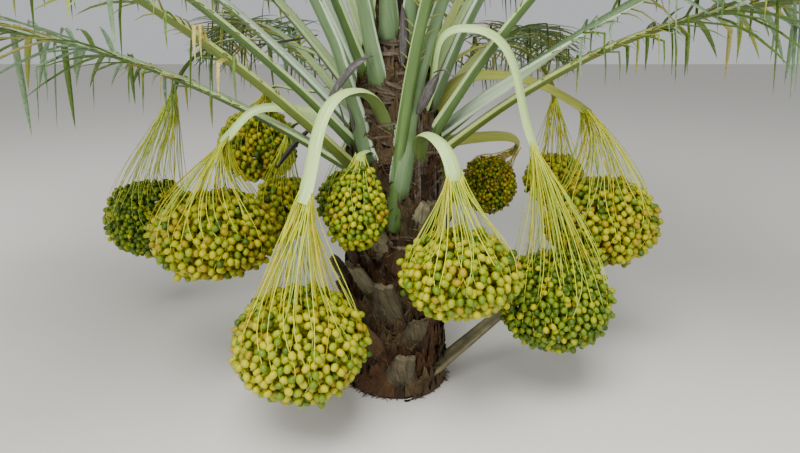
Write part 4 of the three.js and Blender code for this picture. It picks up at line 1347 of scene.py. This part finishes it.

# %% [markdown]
# Where a sheath has split it stands up from the stem as dry strips that curl away, grey with a
# purple cast, and its lower edge stays as woven bands round the stem. Each bunch came out of a
# spathe, a woody boat-shaped husk as long as a forearm, and a few of those still cling beside the
# stalks, dried grey and painted nearly black by the shade that falls on them. Both are thin
# gutters along a line: strips along a line up the stem, and spathes along the Bezier curves in
# the table. Each row gives a curve's four places, as azimuth, radius and height, and the
# spathe's width, in degrees and millimetres.

# %% Dry strips and spathes
STRIP_COUNT, STRIP_STATIONS = 130, 10
STRIP_FEET, STRIP_CURL, STRIP_WIDTHS = (0.04, 1.2), (2 * MM, 34 * MM), (12 * MM, 34 * MM)
STRIP_SWELL = ([0, 0.3, 0.8, 1], [0.8, 1, 0.55, 0.08])
STRIP_SHORTEST, STRIP_TURN, STRIP_SLANT = 70 * MM, 16, 25
BAND_COUNT, BAND_STATIONS = 190, 14
BAND_BELOW, BAND_HEIGHTS, BAND_WIDTHS = (15 * MM, 60 * MM), (0.88, 1.25), (7 * MM, 17 * MM)
SPATHE_STATIONS = 16
SPATHE_SWELL = ([0, 0.2, 0.55, 0.85, 1], [0.4, 0.9, 1, 0.55, 0.06])
SPATHES = [
    ((130, 467, 1253), (134, 609, 1234), (138, 741, 1219), (140, 808, 1211), 26),
    ((224, 272, 1070), (230, 230, 1131), (235, 196, 1183), (247, 152, 1188), 44),
    ((281, 127, 1158), (284, 124, 1220), (285, 124, 1278), (281, 122, 1337), 30),
    ((293, 185, 1016), (297, 213, 1067), (299, 230, 1109), (304, 242, 1144), 40),
    ((299, 241, 1141), (301, 258, 1156), (306, 271, 1156), (307, 277, 1133), 12),
    ((165, 450, 784), (165, 387, 862), (169, 323, 922), (176, 273, 953), 50),
    ((209, 163, 888), (204, 175, 959), (202, 189, 1024), (200, 200, 1060), 15),
    ((218, 161, 924), (216, 170, 995), (213, 182, 1058), (210, 190, 1090), 14),
    ((290, 125, 990), (300, 135, 1060), (318, 150, 1110), (330, 160, 1130), 22),
]


def gutter_section(columns, thickness=0.2):
    """A shallow boat: its outer skin below and, a little above it, its inner skin."""
    across = np.linspace(-1, 1, columns)
    outer = np.stack([across, across**2 - 1], -1)
    inner = np.stack([across[::-1] * 0.94, (across[::-1] ** 2 - 1) * (1 - thickness) + 0.02], -1)
    return np.concatenate([outer, inner])


def make_strips():
    strips = Gathered()
    for i in range(STRIP_COUNT):
        azimuth = i * GOLDEN_ANGLE
        t = np.linspace(0, 1, STRIP_STATIONS)
        low = ROUGH.uniform(*STRIP_FEET)
        z = low + ROUGH.uniform(STRIP_SHORTEST, 0.1 + 0.22 * low) * t
        out = trunk_radius(np.minimum(z, TRUNK_TOP)) + LIES_OFF * MM + ROUGH.uniform(*STRIP_CURL) * t**2
        path = polar(azimuth + ROUGH.uniform(-STRIP_TURN, STRIP_TURN) * t**2, out, z)
        slant = ROUGH.uniform(-STRIP_SLANT, STRIP_SLANT)
        side, normal = across_and_over(path, direction(azimuth + 90 + slant, 0.0))
        width = ROUGH.uniform(*STRIP_WIDTHS) * np.interp(t, *STRIP_SWELL)
        limb(strips, path, side, -normal, width, width * 0.5, gutter_section(6))
    return strips


def make_bands():
    """Woven bands round the stem: half below the living bases, half anywhere in the crown."""
    pieces = gatherers(2)
    for i in range(BAND_COUNT):
        azimuth, height = BASES[i % len(LEAVES)]
        height -= ROUGH.uniform(*BAND_BELOW)
        if i % 2:
            azimuth, height = ROUGH.uniform(0, 360), ROUGH.uniform(*BAND_HEIGHTS)
        t = np.linspace(-1, 1, BAND_STATIONS)
        turn = azimuth + ROUGH.uniform(20, 45) * t + ROUGH.uniform(-12, 12)
        z = height + (ROUGH.uniform(-30, 40) * t**2 + ROUGH.uniform(-25, 25) * t) * MM
        off = 7 + ROUGH.uniform(6, 22) * np.cos(np.pi * t / 2) ** 0.5
        off = off + 1.5 * ROUGH.standard_normal(BAND_STATIONS)
        path = polar(turn, trunk_radius(np.clip(z, 0, TRUNK_TOP)) + off * MM, z)
        hint = UP + 0.3 * ROUGH.standard_normal(3)
        width = ROUGH.uniform(*BAND_WIDTHS) * (1 - 0.7 * t**2)
        limb_along(pieces[i % 3 == 0], path, hint, width, width * 0.4, gutter_section(6))
    return pieces


def make_spathes():
    spathes = Gathered()
    swell = np.interp(np.linspace(0, 1, SPATHE_STATIONS), *SPATHE_SWELL)
    for *line, widest in SPATHES:
        path = bezier(table_places(line), SPATHE_STATIONS)
        width = widest * MM * swell
        limb_along(spathes, path, direction(line[0][0] + 90, 0.0), width, width * 0.6, gutter_section(8))
    return spathes


# Dry sheath strip: papery and grey-brown with a purple cast where damp has stained it.
dry_strip = plant_skin(
    "dry_sheath_strip", ("#231c15", "#857a6a", "#4c4136"), (4, 120), 50, 0.85, 1.5, contrast=2.4
)
# Dry spathe: a woody husk, weathered to slate grey with nearly black grooves, all its tones
# painted darker as the shade in which it hangs.
dry_spathe = plant_skin(
    "dry_spathe", ("#171513", "#746e6a", "#423d3a"), (3, 90), 22, 0.8, 1.5, contrast=3.5
)
# Woven band: the same fibre, bleached to tan where it stands out in the light.
woven_band = plant_skin(
    "woven_band", ("#241b14", "#7e6e5a", "#4c3f32"), (30, 4), 40, 0.9, 1.5, contrast=2.6
)
grow("sheath_strips", make_strips(), dry_strip, ["trunk"])
for word, finish, gathered in zip(("tan", "grey"), (woven_band, dry_strip), make_bands()):
    grow(f"{word}_bands", gathered, finish, ["trunk"])
grow("dry_spathes", make_spathes(), dry_spathe, ["trunk"])

# %% [markdown]
# The last layer is loose fibre. Threads spring from the torn sheaths and cross at all slants, most
# of them dark, some brown and a few bleached. Each is a ribbon a millimetre or two wide that
# curves as it goes. Round the foot a skirt of short dead rootlets, as thick as a pencil, points
# out and down to the ground.

# %% Threads of fibre
THREAD_COUNT, THREAD_STATIONS = 5000, 6
THREAD_SHARES = (0.52, 0.36, 0.12)
THREAD_FEET, THREAD_SLANTS, THREAD_CURVE = (0.02, 1.25), (0.2, 1.6), 1.4
THREAD_LENGTHS, THREAD_HALF_WIDTHS = (30 * MM, 130 * MM), (0.4 * MM, 1.0 * MM)
ROOTLET_COUNT, ROOTLET_TOP, ROOTLET_LOWEST = 240, 75 * MM, 5 * MM
ROOTLET_LENGTHS, ROOTLET_WIDTHS = (12 * MM, 42 * MM), (4 * MM, 9 * MM)


def make_threads():
    pieces = gatherers(3)
    for _ in range(THREAD_COUNT):
        azimuth = ROUGH.uniform(0, 360)
        foot = ROUGH.uniform(*THREAD_FEET)
        slant = ROUGH.choice([-1, 1]) * ROUGH.uniform(*THREAD_SLANTS)
        long = ROUGH.uniform(*THREAD_LENGTHS)
        t = np.linspace(0, 1, THREAD_STATIONS)
        turning = slant + ROUGH.uniform(-THREAD_CURVE, THREAD_CURVE) * t
        step = long / (THREAD_STATIONS - 1)
        z = np.clip(foot + np.cumsum(np.cos(turning)) * step, 0.002, TRUNK_TOP)
        across = np.cumsum(np.sin(turning)) * step / (trunk_radius(foot) + 0.01)
        lifted = LIES_OFF + 12 * np.sin(np.pi * t) * ROUGH.uniform(0, 1) + 22 * t**2 * ROUGH.uniform(0, 1)
        path = polar(azimuth + np.degrees(across), trunk_radius(z) + lifted * MM, z)
        outward = unit(path * [1, 1, 0])
        ahead = unit(np.gradient(path, axis=0) + 1e-6)
        half = np.cross(ahead, outward) * ROUGH.uniform(*THREAD_HALF_WIDTHS)
        corners = np.stack([path + half, path - half], axis=1)
        tone = ROUGH.choice(3, p=THREAD_SHARES)
        pieces[tone].add(corners, [skin(THREAD_STATIONS, 2, closed=False)])
    return pieces


def make_rootlets():
    rootlets = Gathered()
    for _ in range(ROOTLET_COUNT):
        azimuth = ROUGH.uniform(0, 360)
        height = ROOTLET_TOP * ROUGH.uniform(0, 1) ** 1.5
        start = on_trunk(azimuth, height, 6 * MM)
        out = direction(azimuth + ROUGH.uniform(-40, 40), ROUGH.uniform(-50, 10))
        t = np.linspace(0, 1, 5)[:, None]
        path = start + ROUGH.uniform(*ROOTLET_LENGTHS) * t * (out - 0.5 * t * UP)
        path[:, 2] = np.maximum(path[:, 2], ROOTLET_LOWEST)
        thick = ROUGH.uniform(*ROOTLET_WIDTHS) * (1 - 0.7 * t[:, 0])
        limb_along(rootlets, path, direction(azimuth + 90, 0.0), thick, thick, round_section(5))
    return rootlets


# Loose fibre, dry and matt: stained nearly black by rot, plain brown, or bleached to straw.
THREAD_TONES = {
    "dark": ("#150e08", "#3a2a1c", "#241910"),
    "brown": ("#3b2817", "#6b4d32", "#523823"),
    "bleached": ("#6b5a3e", "#978562", "#80704f"),
}
for (word, tones), gathered in zip(THREAD_TONES.items(), make_threads()):
    finish = plant_skin(f"{word}_fibre", tones, (5, 5), 60, 0.9, 0.1, follow="Object")
    grow(f"{word}_threads", gathered, finish, ["trunk"])
# Dead rootlet: a brown cord with grey soil dust on it.
rootlet_bark = plant_skin(
    "rootlet_bark", ("#1d150e", "#6b5944", "#3c3024"), (4, 20), 30, 0.95, 0.5, follow="Object"
)
grow("rootlets", make_rootlets(), rootlet_bark, ["trunk"])

# %% [markdown]
# The studio: a plain pale floor that runs to the horizon, a pale sky all round, and large soft
# lights. Two stand low in front, because the crown shades its own fruit from any light above.

# %% Floor and lights
FLOOR_SIZE = 60
floor_mesh = bpy.data.meshes.new("floor")
edge = FLOOR_SIZE / 2
floor_mesh.from_pydata(
    [(-edge, -edge, 0), (edge, -edge, 0), (edge, edge, 0), (-edge, edge, 0)], [], [(0, 1, 2, 3)]
)
floor = bpy.data.objects.new("floor", floor_mesh)
bpy.context.scene.collection.objects.link(floor)
floor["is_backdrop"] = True

# Painted studio floor: matt and nearly white.
FLOOR_ROUGHNESS, SKY_STRENGTH = 0.9, 0.6
studio_floor = bpy.data.materials.new("painted_studio_floor")
studio_floor.use_nodes = True
floor_shader = studio_floor.node_tree.nodes["Principled BSDF"]
floor_shader.inputs["Base Color"].default_value = linear("#d3d0c9")
floor_shader.inputs["Roughness"].default_value = FLOOR_ROUGHNESS
floor_mesh.materials.append(studio_floor)

world = bpy.data.worlds.new("studio")
world.use_nodes = True
sky = world.node_tree.nodes["Background"]
sky.inputs["Color"].default_value = linear("#f2f4f6")
sky.inputs["Strength"].default_value = SKY_STRENGTH
bpy.context.scene.world = world

# Each light: its name, its place, its size in metres and its power in watts.
LIGHTS = [
    ("front_left", (-2.6, -4.2, 2.2), 3.0, 120),
    ("front_right", (3.2, -3.6, 1.6), 2.5, 60),
    ("overhead", (-0.8, -2.6, 6.0), 4.0, 780),
]
LIGHTS_AIM = Vector((0, 0, 0.8))
for name, place, size, watts in LIGHTS:
    lamp = bpy.data.lights.new(name, "AREA")
    lamp.size, lamp.energy = size, watts
    light = bpy.data.objects.new(name, lamp)
    light.location = place
    light.rotation_euler = (LIGHTS_AIM - Vector(place)).to_track_quat("-Z", "Y").to_euler()
    bpy.context.scene.collection.objects.link(light)

# %% [markdown]
# Last, the box of the finished palm is set beside the box of the solids, so that the two can be
# compared.

# %% Sizes and finish
boxes = {"cad": cad_box, "visual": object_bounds()}
{name: [list(corner) for corner in box] for name, box in boxes.items()}
total = sum(sum(len(p.vertices) - 2 for p in piece.data.polygons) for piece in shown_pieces())
print(total, "triangles in all")
